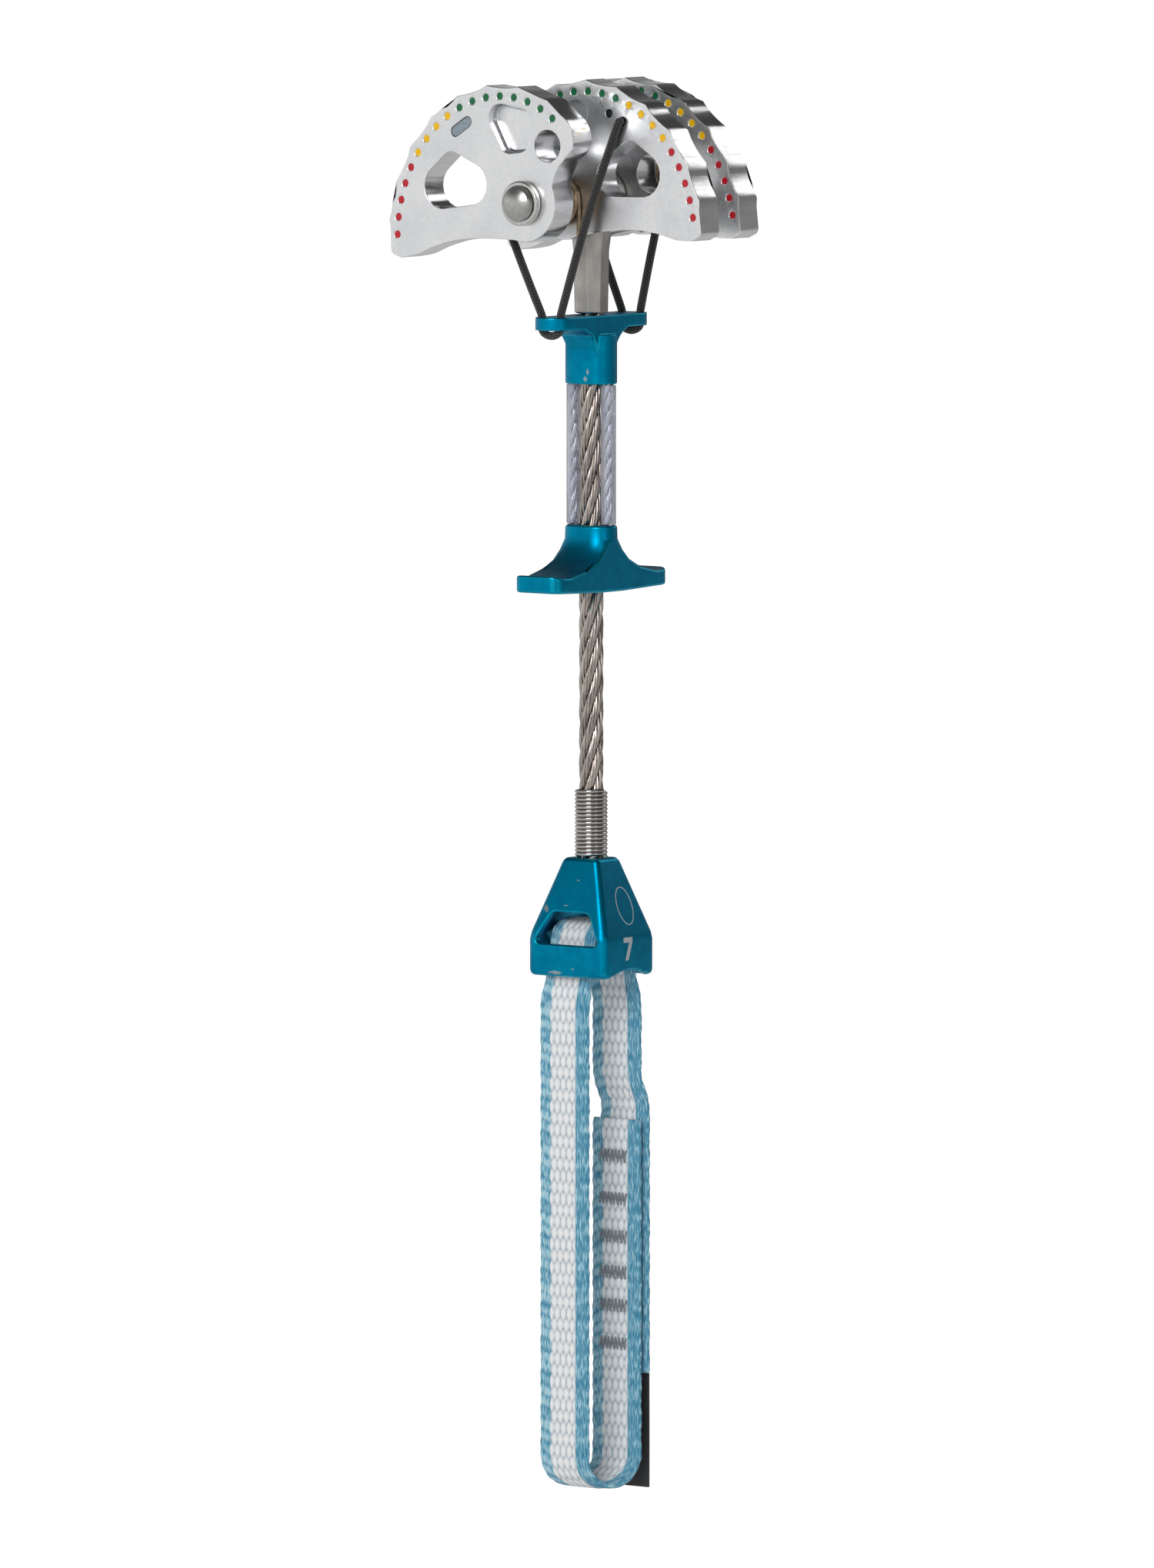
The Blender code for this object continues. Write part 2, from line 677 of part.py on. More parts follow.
def cord_leg(name, side, end, face, lead):
    """A straight run of cord from the bar's eye up to the lobe's face, with its origin at the eye."""
    hole = Vector((-side * CORD_HOLE_AT[0], 0.0, CORD_HOLE_AT[1]))
    hole.rotate(Matrix.Rotation(side * -lead, 3, "Y"))
    pivot = Vector((side * CORD_X, end * CORD_Y, CORD_PIVOT_Z))
    top = Vector((hole.x, face, hole.z)) - pivot
    body = bmesh.new()
    turn = Vector((0.0, 0.0, 1.0)).rotation_difference(top).to_matrix().to_4x4()
    place = Matrix.Translation(top / 2) @ turn
    bmesh.ops.create_cone(
        body, cap_ends=True, segments=10, radius1=CORD_R, radius2=CORD_R, depth=top.length, matrix=place
    )
    made = add_mesh(name, body, "black_cord")
    made.location = pivot
    shade_round(made)
    return made


def cord_legs():
    """The four runs of cord, each lying just clear of its lobe's cord face."""
    clear = CORD_R + 0.25 * MM
    inner = INNER_LOBE_Y + LOBE_THICK + clear
    outer = INNER_LOBE_Y + LOBE_THICK + LOBE_SPACE - clear
    made = []
    for row, end in (("front", -1), ("back", 1)):
        made.append(cord_leg(f"cord_leg_{row}_outer", -1, end, end * outer, 0.0))
        made.append(cord_leg(f"cord_leg_{row}_inner", 1, end, end * inner, INNER_LOBE_LEAD))
    return made


def trigger():
    """Everything that slides along the stem, under one empty on the stem's axis."""
    slider = bpy.data.objects.new("trigger_slider", None)
    slider.location = (0.0, 0.0, BAR_TOP)
    bpy.context.scene.collection.objects.link(slider)
    bpy.context.view_layer.update()
    for item in [upper_bar(), lower_bar(), *trigger_links(), *cord_loops(), *cord_legs()]:
        item.parent = slider
        item.matrix_parent_inverse = slider.matrix_world.inverted()


def coil_sleeve():
    """The close-wound coil that stiffens the cable above the block."""
    rise = COIL_TOP - COIL_BOTTOM - 2 * COIL_WIRE_R
    steps = 14 * COIL_TURNS
    points = []
    for i in range(steps + 1):
        turn = 2 * math.pi * COIL_TURNS * i / steps
        reach = COIL_R - COIL_WIRE_R
        z = COIL_BOTTOM + COIL_WIRE_R + rise * i / steps
        points.append((reach * math.cos(turn), reach * math.sin(turn), z))
    tube_along("coil_sleeve", points, COIL_WIRE_R, "bright_steel")


def rounded_box_ring(half_x, half_y, z, edge):
    """A rectangle with rounded corners at a height."""
    made = []
    for sx, sy, start in ((1, 1, 0), (-1, 1, 90), (-1, -1, 180), (1, -1, 270)):
        centre = (sx * (half_x - edge), sy * (half_y - edge))
        made += arc(centre, edge, math.radians(start), math.radians(start + 90), 3)
    return [(a, b, z) for a, b in made]


def block_half(z, inset=(0.0, 0.0)):
    """Half the block's width and depth at a height."""
    share = min(1.0, (BLOCK_TOP - z) / (BLOCK_TOP - BLOCK_SHOULDER))
    spans = zip(BLOCK_TOP_HALF, BLOCK_HALF, inset)
    return [top + (full - top) * share - less for top, full, less in spans]


def block_cavity():
    """The hollow that the sling passes through, open below."""
    rings = []
    for z in (CAVITY_ROOF, BLOCK_SHOULDER, BLOCK_BOTTOM - MM):
        rings.append(rounded_box_ring(*block_half(z, BLOCK_WALL), z, BLOCK_EDGE))
    return loft("cavity", rings)


def window_outline():
    """A window through the front and back walls, seen along Y, wider below and with rounded upper corners."""
    corner = WINDOW_CORNER
    centre = (WINDOW_HALF_TOP - corner, WINDOW_TOP - corner)
    right = [(WINDOW_HALF_BOTTOM - corner / 2, WINDOW_BOTTOM), (WINDOW_HALF_BOTTOM, WINDOW_BOTTOM + corner / 2)]
    right += arc(centre, corner, math.radians(20), math.radians(90), 5)
    return right + [(-a, b) for a, b in reversed(right)]


def terminal_block():
    """The block that joins the cable to the sling."""
    edge = BLOCK_EDGE
    rings = [
        rounded_box_ring(*(half - edge / 2 for half in BLOCK_TOP_HALF), BLOCK_TOP, edge),
        rounded_box_ring(*block_half(BLOCK_TOP - edge), BLOCK_TOP - edge, edge * 1.6),
        rounded_box_ring(*block_half(BLOCK_SHOULDER + edge), BLOCK_SHOULDER + edge, edge * 2),
        rounded_box_ring(*BLOCK_HALF, BLOCK_SHOULDER - edge, edge * 2),
        rounded_box_ring(*BLOCK_HALF, BLOCK_BOTTOM + edge, edge * 2),
        rounded_box_ring(*(half - edge / 2 for half in BLOCK_HALF), BLOCK_BOTTOM, edge * 2),
    ]
    made = loft("terminal_block", rings, "teal_anodised")
    arch_at = (0.0, BLOCK_BOTTOM + ARCH_RISE - ARCH_R)
    seat = BLOCK_HALF[0] - BLOCK_WALL[0] + CROSSBAR_SEAT
    cut(
        made,
        block_cavity(),
        rod("cable_bore", CABLE_R + FIXED_GAP / 2, CAVITY_ROOF - MM, BLOCK_TOP + MM, "Z"),
        rod("stop_seat", STOP_R + FIXED_GAP, CAVITY_ROOF - MM, STOP_TOP + FIXED_GAP, "Z"),
        prism("window", window_outline(), "Y", -2 * BLOCK_HALF[1], 2 * BLOCK_HALF[1]),
        rod("arch", ARCH_R, -2 * BLOCK_HALF[0], 2 * BLOCK_HALF[0], "X", at=arch_at),
        rod("crossbar_seat", CROSSBAR_R + FIXED_GAP / 2, -seat, seat, "X", at=(0.0, CROSSBAR_Z)),
    )
    shade_round(made)


def block_insides():
    """The crossbar under the sling and the stop swaged on the cable's end."""
    reach = BLOCK_HALF[0] - BLOCK_WALL[0] + CROSSBAR_SEAT - FIXED_GAP
    bar = rod("crossbar", CROSSBAR_R, -reach, reach, "X", "bright_steel", 24, (0.0, CROSSBAR_Z))
    shade_round(bar)
    ring("cable_stop", STOP_R, CABLE_R + FIXED_GAP / 2, STOP_TOP, CABLE_BOTTOM, "Z", "bright_steel", 24)


def sling_side(z, offset=0.0):
    """How far a layer of the sling lies from the stem's axis at a height."""
    top = CROSSBAR_R + WEB_GAP + WEB_THICK / 2
    share = min(1.0, max(0.0, (CROSSBAR_Z - z) / 12 / MM))
    return top + (SLING_HALF_GAP - top) * share + offset


def layer_step():
    """Distance between the middle lines of the sling's two overlapping layers."""
    return WEB_THICK + WEB_GAP / 2


def overlap_offset(z):
    """How far the outer layer has moved out to pass over the inner layer's end."""
    start = INNER_END + 9 * MM
    share = min(1.0, max(0.0, (start - z) / 7 / MM))
    return layer_step() * share * share * (3 - 2 * share)


def heights(top, bottom, steps):
    """Evenly spaced heights, with both ends."""
    return [top + (bottom - top) * i / steps for i in range(steps + 1)]


def sling_line():
    """The sling's middle line in YZ: outer end, up, over the crossbar, down and round to the inner end."""
    reach = sling_side(SLING_BOTTOM)
    turn = SLING_BOTTOM + WEB_THICK / 2 + reach
    below_block = CROSSBAR_Z - 12 * MM
    rise = heights(OUTER_END, INNER_END, 4)
    rise += heights(INNER_END + 2 * MM, INNER_END + 9 * MM, 4)
    rise.append(below_block)
    up = [(sling_side(z, overlap_offset(z)), z) for z in rise]
    over = arc((0.0, CROSSBAR_Z), sling_side(CROSSBAR_Z), 0.0, math.pi, 10)
    down = [(-sling_side(z), z) for z in heights(below_block, turn, 6)]
    under = arc((0.0, turn), reach, math.pi, 2 * math.pi, 12)[1:]
    inner = [(sling_side(z), z) for z in heights(turn, INNER_END, 5)][1:]
    return up + over + down + under + inner


def strip(name, line, half_width, thick, look, origin, skew):
    """A band along X that follows a line in YZ, and shifts along X with its distance from the stem."""
    body = bmesh.new()
    rows = []
    for i, (y, z) in enumerate(line):
        before = line[max(i - 1, 0)]
        after = line[min(i + 1, len(line) - 1)]
        along = Vector((after[0] - before[0], after[1] - before[1])).normalized() * thick / 2
        row = []
        for x, s in ((-1, -1), (1, -1), (1, 1), (-1, 1)):
            place = (x * half_width + skew * y, y - s * along.y, z + s * along.x)
            row.append(body.verts.new(Vector(place) - Vector(origin)))
        rows.append(row)
    body.faces.new(rows[0])
    body.faces.new(rows[-1])
    for low, high in zip(rows, rows[1:]):
        for i in range(4):
            j = (i + 1) % 4
            body.faces.new((low[i], low[j], high[j], high[i]))
    made = add_mesh(name, body, look)
    made.location = origin
    return made


def sling():
    """The sling and its label, hung from the crossbar."""
    hang = (0.0, 0.0, CROSSBAR_Z)
    strip("sling_webbing", sling_line(), WEB_HALF_WIDTH, WEB_THICK, "blue_webbing", hang, SLING_SKEW)
    step = layer_step() + (WEB_THICK + TAG_THICK + WEB_GAP) / 2
    tag = [(sling_side(z, step), z) for z in heights(TAG_TOP, TAG_BOTTOM, 3)]
    strip("label_tag", tag, TAG_HALF_WIDTH, TAG_THICK, "black_label", hang, SLING_SKEW)


def main():
    """Builds every piece at its rest position."""
    clear_scene()
    axle()
    washers()
    bushes()
    torsion_springs()
    stem_head()
    cable()
    lobes()
    trigger()
    coil_sleeve()
    terminal_block()
    block_insides()
    sling()


main()
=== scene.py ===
"""A spring-loaded camming device for rock climbing, built piece by piece around its fixed frame."""

import sys

import json
import logging
import math
from dataclasses import dataclass, field
from enum import Enum
from typing import Callable, Iterable, Sequence

import bpy
import numpy as np
from mathutils import Matrix, Vector

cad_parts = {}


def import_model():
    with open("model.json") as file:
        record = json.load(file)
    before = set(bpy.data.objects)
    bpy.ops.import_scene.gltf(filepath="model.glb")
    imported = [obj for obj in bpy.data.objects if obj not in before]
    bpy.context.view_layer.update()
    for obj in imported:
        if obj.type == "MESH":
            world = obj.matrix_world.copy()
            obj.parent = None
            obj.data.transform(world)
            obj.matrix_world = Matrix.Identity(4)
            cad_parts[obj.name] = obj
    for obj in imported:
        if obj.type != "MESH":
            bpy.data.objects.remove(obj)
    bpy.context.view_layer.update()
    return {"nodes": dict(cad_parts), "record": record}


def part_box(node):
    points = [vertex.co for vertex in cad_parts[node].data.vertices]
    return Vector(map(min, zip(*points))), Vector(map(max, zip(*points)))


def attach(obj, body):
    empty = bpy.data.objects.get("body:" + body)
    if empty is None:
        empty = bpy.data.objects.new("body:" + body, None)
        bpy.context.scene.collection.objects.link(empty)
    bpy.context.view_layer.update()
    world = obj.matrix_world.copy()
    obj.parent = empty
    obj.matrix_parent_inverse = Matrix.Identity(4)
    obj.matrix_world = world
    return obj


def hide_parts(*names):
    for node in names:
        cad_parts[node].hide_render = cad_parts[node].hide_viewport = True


LOG = logging.getLogger("cam_device")
MM = 0.001
Colour = tuple[float, float, float]
Point = tuple[float, float, float]

# Tape, in millimetres, as its shader and its shape both use them
RIB_PITCH = 0.55
RIB_SWAY = 0.08
THREAD_PITCH = 0.24


# ---------------------------------------------------------------- bench tools


def let_go() -> None:
    """Leaves edit mode and deselects every object."""
    if bpy.context.object is not None and bpy.context.object.mode != "OBJECT":
        bpy.ops.object.mode_set(mode="OBJECT")
    bpy.ops.object.select_all(action="DESELECT")


def take_up(piece: bpy.types.Object) -> bpy.types.Object:
    """Makes one piece the only selected and active object.

    Args:
        piece: The object to work on.

    Returns:
        The same object.
    """
    let_go()
    piece.select_set(True)
    bpy.context.view_layer.objects.active = piece
    return piece


def start_edit(mode: str = "FACE") -> None:
    """Enters edit mode on the active piece with nothing selected.

    Args:
        mode: VERT, EDGE or FACE.
    """
    bpy.ops.object.mode_set(mode="EDIT")
    bpy.ops.mesh.select_mode(type=mode)
    bpy.ops.mesh.select_all(action="DESELECT")


def pick_faces(piece: bpy.types.Object, test: Callable[[bpy.types.MeshPolygon], bool]) -> int:
    """Selects the faces that pass a test, and returns to edit mode.

    Args:
        piece: The active object, in edit mode.
        test: Says whether a face is wanted.

    Returns:
        How many faces are selected.
    """
    bpy.ops.mesh.select_all(action="DESELECT")
    bpy.ops.object.mode_set(mode="OBJECT")
    found = 0
    for face in piece.data.polygons:
        face.select = bool(test(face))
        found += face.select
    bpy.ops.object.mode_set(mode="EDIT")
    return found


def end_edit(outward: bool = False) -> None:
    """Leaves edit mode.

    Args:
        outward: Whether to turn every face to the outside first.
    """
    if outward:
        bpy.ops.mesh.select_all(action="SELECT")
        bpy.ops.mesh.normals_make_consistent(inside=False)
    bpy.ops.object.mode_set(mode="OBJECT")


def settle(piece: bpy.types.Object) -> None:
    """Puts a piece's place into its mesh, so that the object sits at the origin."""
    take_up(piece)
    bpy.ops.object.transform_apply(location=True, rotation=True, scale=True)


def apply_tool(piece: bpy.types.Object, kind: str, **settings: object) -> None:
    """Adds one modifier and applies it.

    Args:
        piece: The object to shape.
        kind: The modifier's type.
        **settings: The modifier's properties.
    """
    take_up(piece)
    tool = piece.modifiers.new(kind.lower(), kind)
    for key, value in settings.items():
        setattr(tool, key, value)
    bpy.ops.object.modifier_apply(modifier=tool.name)


def smooth(piece: bpy.types.Object, degrees: float = 35.0, weighted: bool = False) -> None:
    """Shades a piece smooth up to an angle.

    Args:
        piece: The object to shade.
        degrees: Edges sharper than this stay sharp.
        weighted: Whether large flat faces keep their own direction.
    """
    take_up(piece)
    bpy.ops.object.shade_smooth_by_angle(angle=math.radians(degrees))
    if weighted:
        apply_tool(piece, "WEIGHTED_NORMAL", weight=100, keep_sharp=True)


def new_mesh_piece(name: str, points: Sequence, faces: Sequence) -> bpy.types.Object:
    """Makes a piece from points and faces.

    Args:
        name: The piece's name.
        points: Its points, in metres.
        faces: Point numbers of each face.

    Returns:
        The new object.
    """
    mesh = bpy.data.meshes.new(name)
    mesh.from_pydata([tuple(p) for p in points], [], [tuple(f) for f in faces])
    piece = bpy.data.objects.new(name, mesh)
    bpy.context.scene.collection.objects.link(piece)
    return take_up(piece)


def wires(
    name: str, routes: Iterable[Sequence], radius: float, resolution: int = 1
) -> bpy.types.Object:
    """Draws round wires along routes and makes them one mesh.

    Args:
        name: The piece's name.
        routes: One list of points for each wire.
        radius: The wires' radius.
        resolution: How round each wire is.

    Returns:
        The new object.
    """
    line = bpy.data.curves.new(name, "CURVE")
    line.dimensions = "3D"
    line.bevel_depth = radius
    line.bevel_resolution = resolution
    line.use_fill_caps = True
    for route in routes:
        spline = line.splines.new("POLY")
        spline.points.add(len(route) - 1)
        spline.points.foreach_set("co", [c for p in route for c in (*p, 1.0)])
    piece = bpy.data.objects.new(name, line)
    bpy.context.scene.collection.objects.link(piece)
    take_up(piece)
    bpy.ops.object.convert(target="MESH")
    bpy.ops.object.shade_smooth_by_angle(angle=math.radians(60))
    return bpy.context.object


def joined(name: str, pieces: Sequence[bpy.types.Object]) -> bpy.types.Object:
    """Joins pieces into one object.

    Args:
        name: The joined piece's name.
        pieces: The objects to join.

    Returns:
        The joined object.
    """
    take_up(pieces[0])
    for piece in pieces:
        piece.select_set(True)
    bpy.ops.object.join()
    pieces[0].name = name
    return pieces[0]


def hand_over(
    piece: bpy.types.Object, body: str, nodes: Sequence[str] = (), finish: object = None
) -> bpy.types.Object:
    """Ties a finished piece to the frame and reports it.

    Args:
        piece: The finished object.
        body: The body that it moves with.
        nodes: The solids that it stands for.
        finish: The material for a piece that has none yet.

    Returns:
        The same object.
    """
    if finish is not None:
        piece.data.materials.clear()
        piece.data.materials.append(finish)
    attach(piece, body)
    if nodes:
        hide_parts(*nodes)
    LOG.info("%s rides on %s: %d faces", piece.name, body, len(piece.data.polygons))
    return piece


# ---------------------------------------------------------------- shader groups


class Graph:
    """Adds nodes to one node tree and wires them."""

    def __init__(self, tree: bpy.types.NodeTree) -> None:
        """Starts on a tree, which keeps the nodes that it has."""
        self.tree = tree

    def add(self, kind: str, wired: dict | None = None, **settings: object) -> bpy.types.Node:
        """Adds a node.

        Args:
            kind: The node's type.
            wired: Input name or number to a value or to another node's output.
            **settings: The node's properties.

        Returns:
            The new node.
        """
        made = self.tree.nodes.new(kind)
        for key, value in settings.items():
            setattr(made, key, value)
        for key, value in (wired or {}).items():
            self.feed(made, key, value)
        return made

    def feed(self, made: bpy.types.Node, key: str | int, value: object) -> None:
        """Sets or wires one input of a node."""
        if isinstance(value, bpy.types.NodeSocket):
            self.tree.links.new(value, made.inputs[key])
        else:
            made.inputs[key].default_value = value

    def maths(self, operation: str, *values: object, clamp: bool = False) -> bpy.types.NodeSocket:
        """Adds a Math node and returns its output."""
        made = self.add(
            "ShaderNodeMath", dict(enumerate(values)), operation=operation, use_clamp=clamp
        )
        return made.outputs[0]

    def blend(self, share: object, first: object, second: object) -> bpy.types.NodeSocket:
        """Mixes two colours and returns the result.

        Args:
            share: How much of the second colour, from 0 to 1.
            first: The colour, or socket, at 0.
            second: The colour, or socket, at 1.

        Returns:
            The mixed colour's socket.
        """
        wired = {0: share, 6: opaque(first), 7: opaque(second)}
        return self.add("ShaderNodeMix", wired, data_type="RGBA").outputs[2]

    def spread(
        self, value: object, low: float, high: float, to_low: float, to_high: float
    ) -> bpy.types.NodeSocket:
        """Maps a value from one range to another, with clamping, and returns the result."""
        wired = {0: value, 1: low, 2: high, 3: to_low, 4: to_high}
        return self.add("ShaderNodeMapRange", wired).outputs[0]


def opaque(colour: object) -> object:
    """A colour with full alpha, or the socket that was given."""
    return (*colour, 1.0) if isinstance(colour, tuple) and len(colour) == 3 else colour


def new_group(
    name: str, takes: dict[str, object], gives: Sequence[str]
) -> tuple[Graph, dict, bpy.types.Node]:
    """Starts a shader node group.

    Args:
        name: The group's name.
        takes: Input names, each with its default: a number, or None for a vector.
        gives: Output names, all numbers.

    Returns:
        The graph, the inputs by name and the output node.
    """
    tree = bpy.data.node_groups.new(name, "ShaderNodeTree")
    for label, value in takes.items():
        kind = "NodeSocketFloat" if isinstance(value, float) else "NodeSocketVector"
        made = tree.interface.new_socket(label, in_out="INPUT", socket_type=kind)
        if value is not None:
            made.default_value = value
    for label in gives:
        tree.interface.new_socket(label, in_out="OUTPUT", socket_type="NodeSocketFloat")
    graph = Graph(tree)
    start = graph.add("NodeGroupInput")
    end = graph.add("NodeGroupOutput")
    return graph, {label: start.outputs[label] for label in takes}, end


def grain_group() -> bpy.types.NodeTree:
    """Fine grain that is drawn out along one direction, as brushing or rolling leaves.

    Returns:
        A group from Vector, Scale, Stretch and Detail to Grain.
    """
    takes = {"Vector": None, "Scale": 900.0, "Stretch": (1.0, 1.0, 1.0), "Detail": 3.0}
    graph, given, end = new_group("drawn_grain", takes, ["Grain"])
    pulled = graph.add(
        "ShaderNodeVectorMath", {0: given["Vector"], 1: given["Stretch"]}, operation="MULTIPLY"
    )
    noise = graph.add(
        "ShaderNodeTexNoise",
        {
            "Vector": pulled.outputs[0], "Scale": given["Scale"], "Detail": given["Detail"],
            "Roughness": 0.6
        },
    )
    graph.feed(end, "Grain", graph.spread(noise.outputs[0], 0.3, 0.7, 0.0, 1.0))
    return graph.tree


def wear_group() -> bpy.types.NodeTree:
    """Broken patches where handling has rubbed an edge bright.

    Returns:
        A group from Vector, Scale and Cover to Mask.
    """
    graph, given, end = new_group(
        "rubbed_patches", {"Vector": None, "Scale": 300.0, "Cover": 0.5}, ["Mask"]
    )
    broad = graph.add(
        "ShaderNodeTexNoise", {"Vector": given["Vector"], "Scale": given["Scale"], "Detail": 4.0}
    )
    level = graph.maths("SUBTRACT", 1.0, given["Cover"])
    above = graph.maths("SUBTRACT", broad.outputs[0], level)
    graph.feed(end, "Mask", graph.maths("MULTIPLY", above, 8.0, clamp=True))
    return graph.tree


def scuff_group() -> bpy.types.NodeTree:
    """One ragged scuff in a box round a point.

    Returns:
        A group from Vector, Centre, Half size and Rag to Mask.
    """
    takes = {
        "Vector": None, "Centre": (0.0, 0.0, 0.0), "Half": (0.001, 0.001, 0.001), "Rag": 1500.0
    }
    graph, given, end = new_group("ragged_scuff", takes, ["Mask"])
    off = graph.add(
        "ShaderNodeVectorMath", {0: given["Vector"], 1: given["Centre"]}, operation="SUBTRACT"
    )
    share = graph.add(
        "ShaderNodeVectorMath", {0: off.outputs[0], 1: given["Half"]}, operation="DIVIDE"
    )
    length = graph.add("ShaderNodeVectorMath", {0: share.outputs[0]}, operation="LENGTH")
    noise = graph.add(
        "ShaderNodeTexNoise",
        {"Vector": given["Vector"], "Scale": given["Rag"], "Detail": 5.0, "Roughness": 0.7}
    )
    ragged = graph.maths(
        "ADD", length.outputs["Value"], graph.maths("MULTIPLY", noise.outputs[0], 1.6)
    )
    graph.feed(end, "Mask", graph.spread(ragged, 1.35, 1.6, 1.0, 0.0))
    return graph.tree


def braid_group() -> bpy.types.NodeTree:
    """Two sets of yarns that cross over and under each other on a round cord or a woven face.

    Returns:
        A group from Around, Along and Yarns to Height and Gap.
    """
    graph, given, end = new_group(
        "crossed_yarns", {"Around": 0.0, "Along": 0.0, "Yarns": 8.0}, ["Height", "Gap"]
    )
    turn = graph.maths("MULTIPLY", given["Around"], given["Yarns"])
    right = graph.maths("ADD", turn, given["Along"])
    left = graph.maths("SUBTRACT", turn, given["Along"])
    lifts = []
    for first, second in ((right, left), (left, right)):
        across = graph.maths(
            "ABSOLUTE", graph.maths("SINE", graph.maths("MULTIPLY", first, math.pi))
        )
        along = graph.maths("SINE", graph.maths("MULTIPLY", second, math.pi))
        lifts.append(graph.maths("MULTIPLY", across, graph.maths("ABSOLUTE", along)))
    height = graph.maths("POWER", graph.maths("MAXIMUM", lifts[0], lifts[1]), 0.6)
    graph.feed(end, "Height", height)
    graph.feed(end, "Gap", graph.spread(height, 0.0, 0.55, 1.0, 0.0))
    return graph.tree


class Effect(Enum):
    """The shared effects, each built once."""

    GRAIN = "drawn_grain"
    WEAR = "rubbed_patches"
    SCUFF = "ragged_scuff"
    BRAID = "crossed_yarns"


EFFECT_BUILDERS: dict[Effect, Callable[[], bpy.types.NodeTree]] = {
    Effect.GRAIN: grain_group,
    Effect.WEAR: wear_group,
    Effect.SCUFF: scuff_group,
    Effect.BRAID: braid_group,
}


# ---------------------------------------------------------------- finishes


@dataclass(frozen=True)
class Scuff:
    """Where a finish is scuffed, and how far the scuff reaches each way."""

    centre: Point
    half: Point
    rag: float = 1500.0


class Shade:
    """A material that is being wired up."""

    def __init__(self, name: str) -> None:
        """Starts a material with one Principled shader."""
        self.material = bpy.data.materials.new(name)
        self.material.use_nodes = True
        self.graph = Graph(self.material.node_tree)
        self.shader = self.material.node_tree.nodes["Principled BSDF"]
        self.place = self.graph.add("ShaderNodeTexCoord").outputs["Object"]

    def fixed(self, **values: object) -> None:
        """Sets constant values on the shader, with _ in place of each space."""
        for key, value in values.items():
            self.shader.inputs[key.replace("_", " ")].default_value = value

    def effect(self, kind: Effect, **wired: object) -> bpy.types.Node:
        """Places a shared effect in this material.

        Args:
            kind: Which effect.
            **wired: Input names and their values or sockets.

        Returns:
            The group node.
        """
        tree = bpy.data.node_groups.get(kind.value) or EFFECT_BUILDERS[kind]()
        made = self.graph.add("ShaderNodeGroup", node_tree=tree)
        for key, value in wired.items():
            self.graph.feed(made, key, value)
        return made

    def mottle(self, scale: float, detail: float = 3.0) -> bpy.types.NodeSocket:
        """Soft uneven patches over the surface, from 0 to 1."""
        noise = self.graph.add(
            "ShaderNodeTexNoise", {"Vector": self.place, "Scale": scale, "Detail": detail}
        )
        return self.graph.spread(noise.outputs[0], 0.32, 0.68, 0.0, 1.0)

    def paint(self, colour: bpy.types.NodeSocket) -> None:
        """Wires the surface colour."""
        self.graph.feed(self.shader, "Base Color", colour)

    def gloss(self, roughness: bpy.types.NodeSocket) -> None:
        """Wires the roughness."""
        self.graph.feed(self.shader, "Roughness", roughness)

    def relief(self, height: bpy.types.NodeSocket, depth: float, strength: float = 1.0) -> None:
        """Wires a bump of a real depth, in metres."""
        bump = self.graph.add(
            "ShaderNodeBump", {"Height": height, "Distance": depth, "Strength": strength}
        )
        self.graph.feed(self.shader, "Normal", bump.outputs[0])

    def attribute(self, name: str) -> bpy.types.NodeSocket:
        """A number that the piece keeps for each point."""
        return self.graph.add("ShaderNodeAttribute", attribute_name=name).outputs["Fac"]


@dataclass(frozen=True)
class MetalFinish:
    """Bare metal with a drawn grain, soft clouding and rubbed patches."""

    name: str
    light: Colour
    dark: Colour
    smoothest: float
    roughest: float
    grain: float = 1400.0
    stretch: Point = (1.0, 1.0, 1.0)
    depth: float = 0.000004
    cloud: float = 160.0
    rubbed: float = 0.42

    def make(self) -> bpy.types.Material:
        """Builds the material."""
        shade = Shade(self.name)
        shade.fixed(Metallic=1.0)
        graph = shade.graph
        grain = shade.effect(
            Effect.GRAIN, Vector=shade.place, Scale=self.grain, Stretch=self.stretch
        ).outputs[0]
        rubbed = shade.effect(
            Effect.WEAR, Vector=shade.place, Scale=self.cloud * 3, Cover=self.rubbed
        ).outputs[0]
        cloud = shade.mottle(self.cloud)
        share = graph.maths("MULTIPLY", graph.maths("ADD", grain, cloud), 0.5)
        shade.paint(graph.blend(share, self.light, self.dark))
        rough = graph.spread(share, 0.0, 1.0, self.smoothest, self.roughest)
        shade.gloss(
            graph.maths("SUBTRACT", rough, graph.maths("MULTIPLY", rubbed, self.smoothest * 0.3))
        )
        shade.relief(grain, self.depth)
        return shade.material


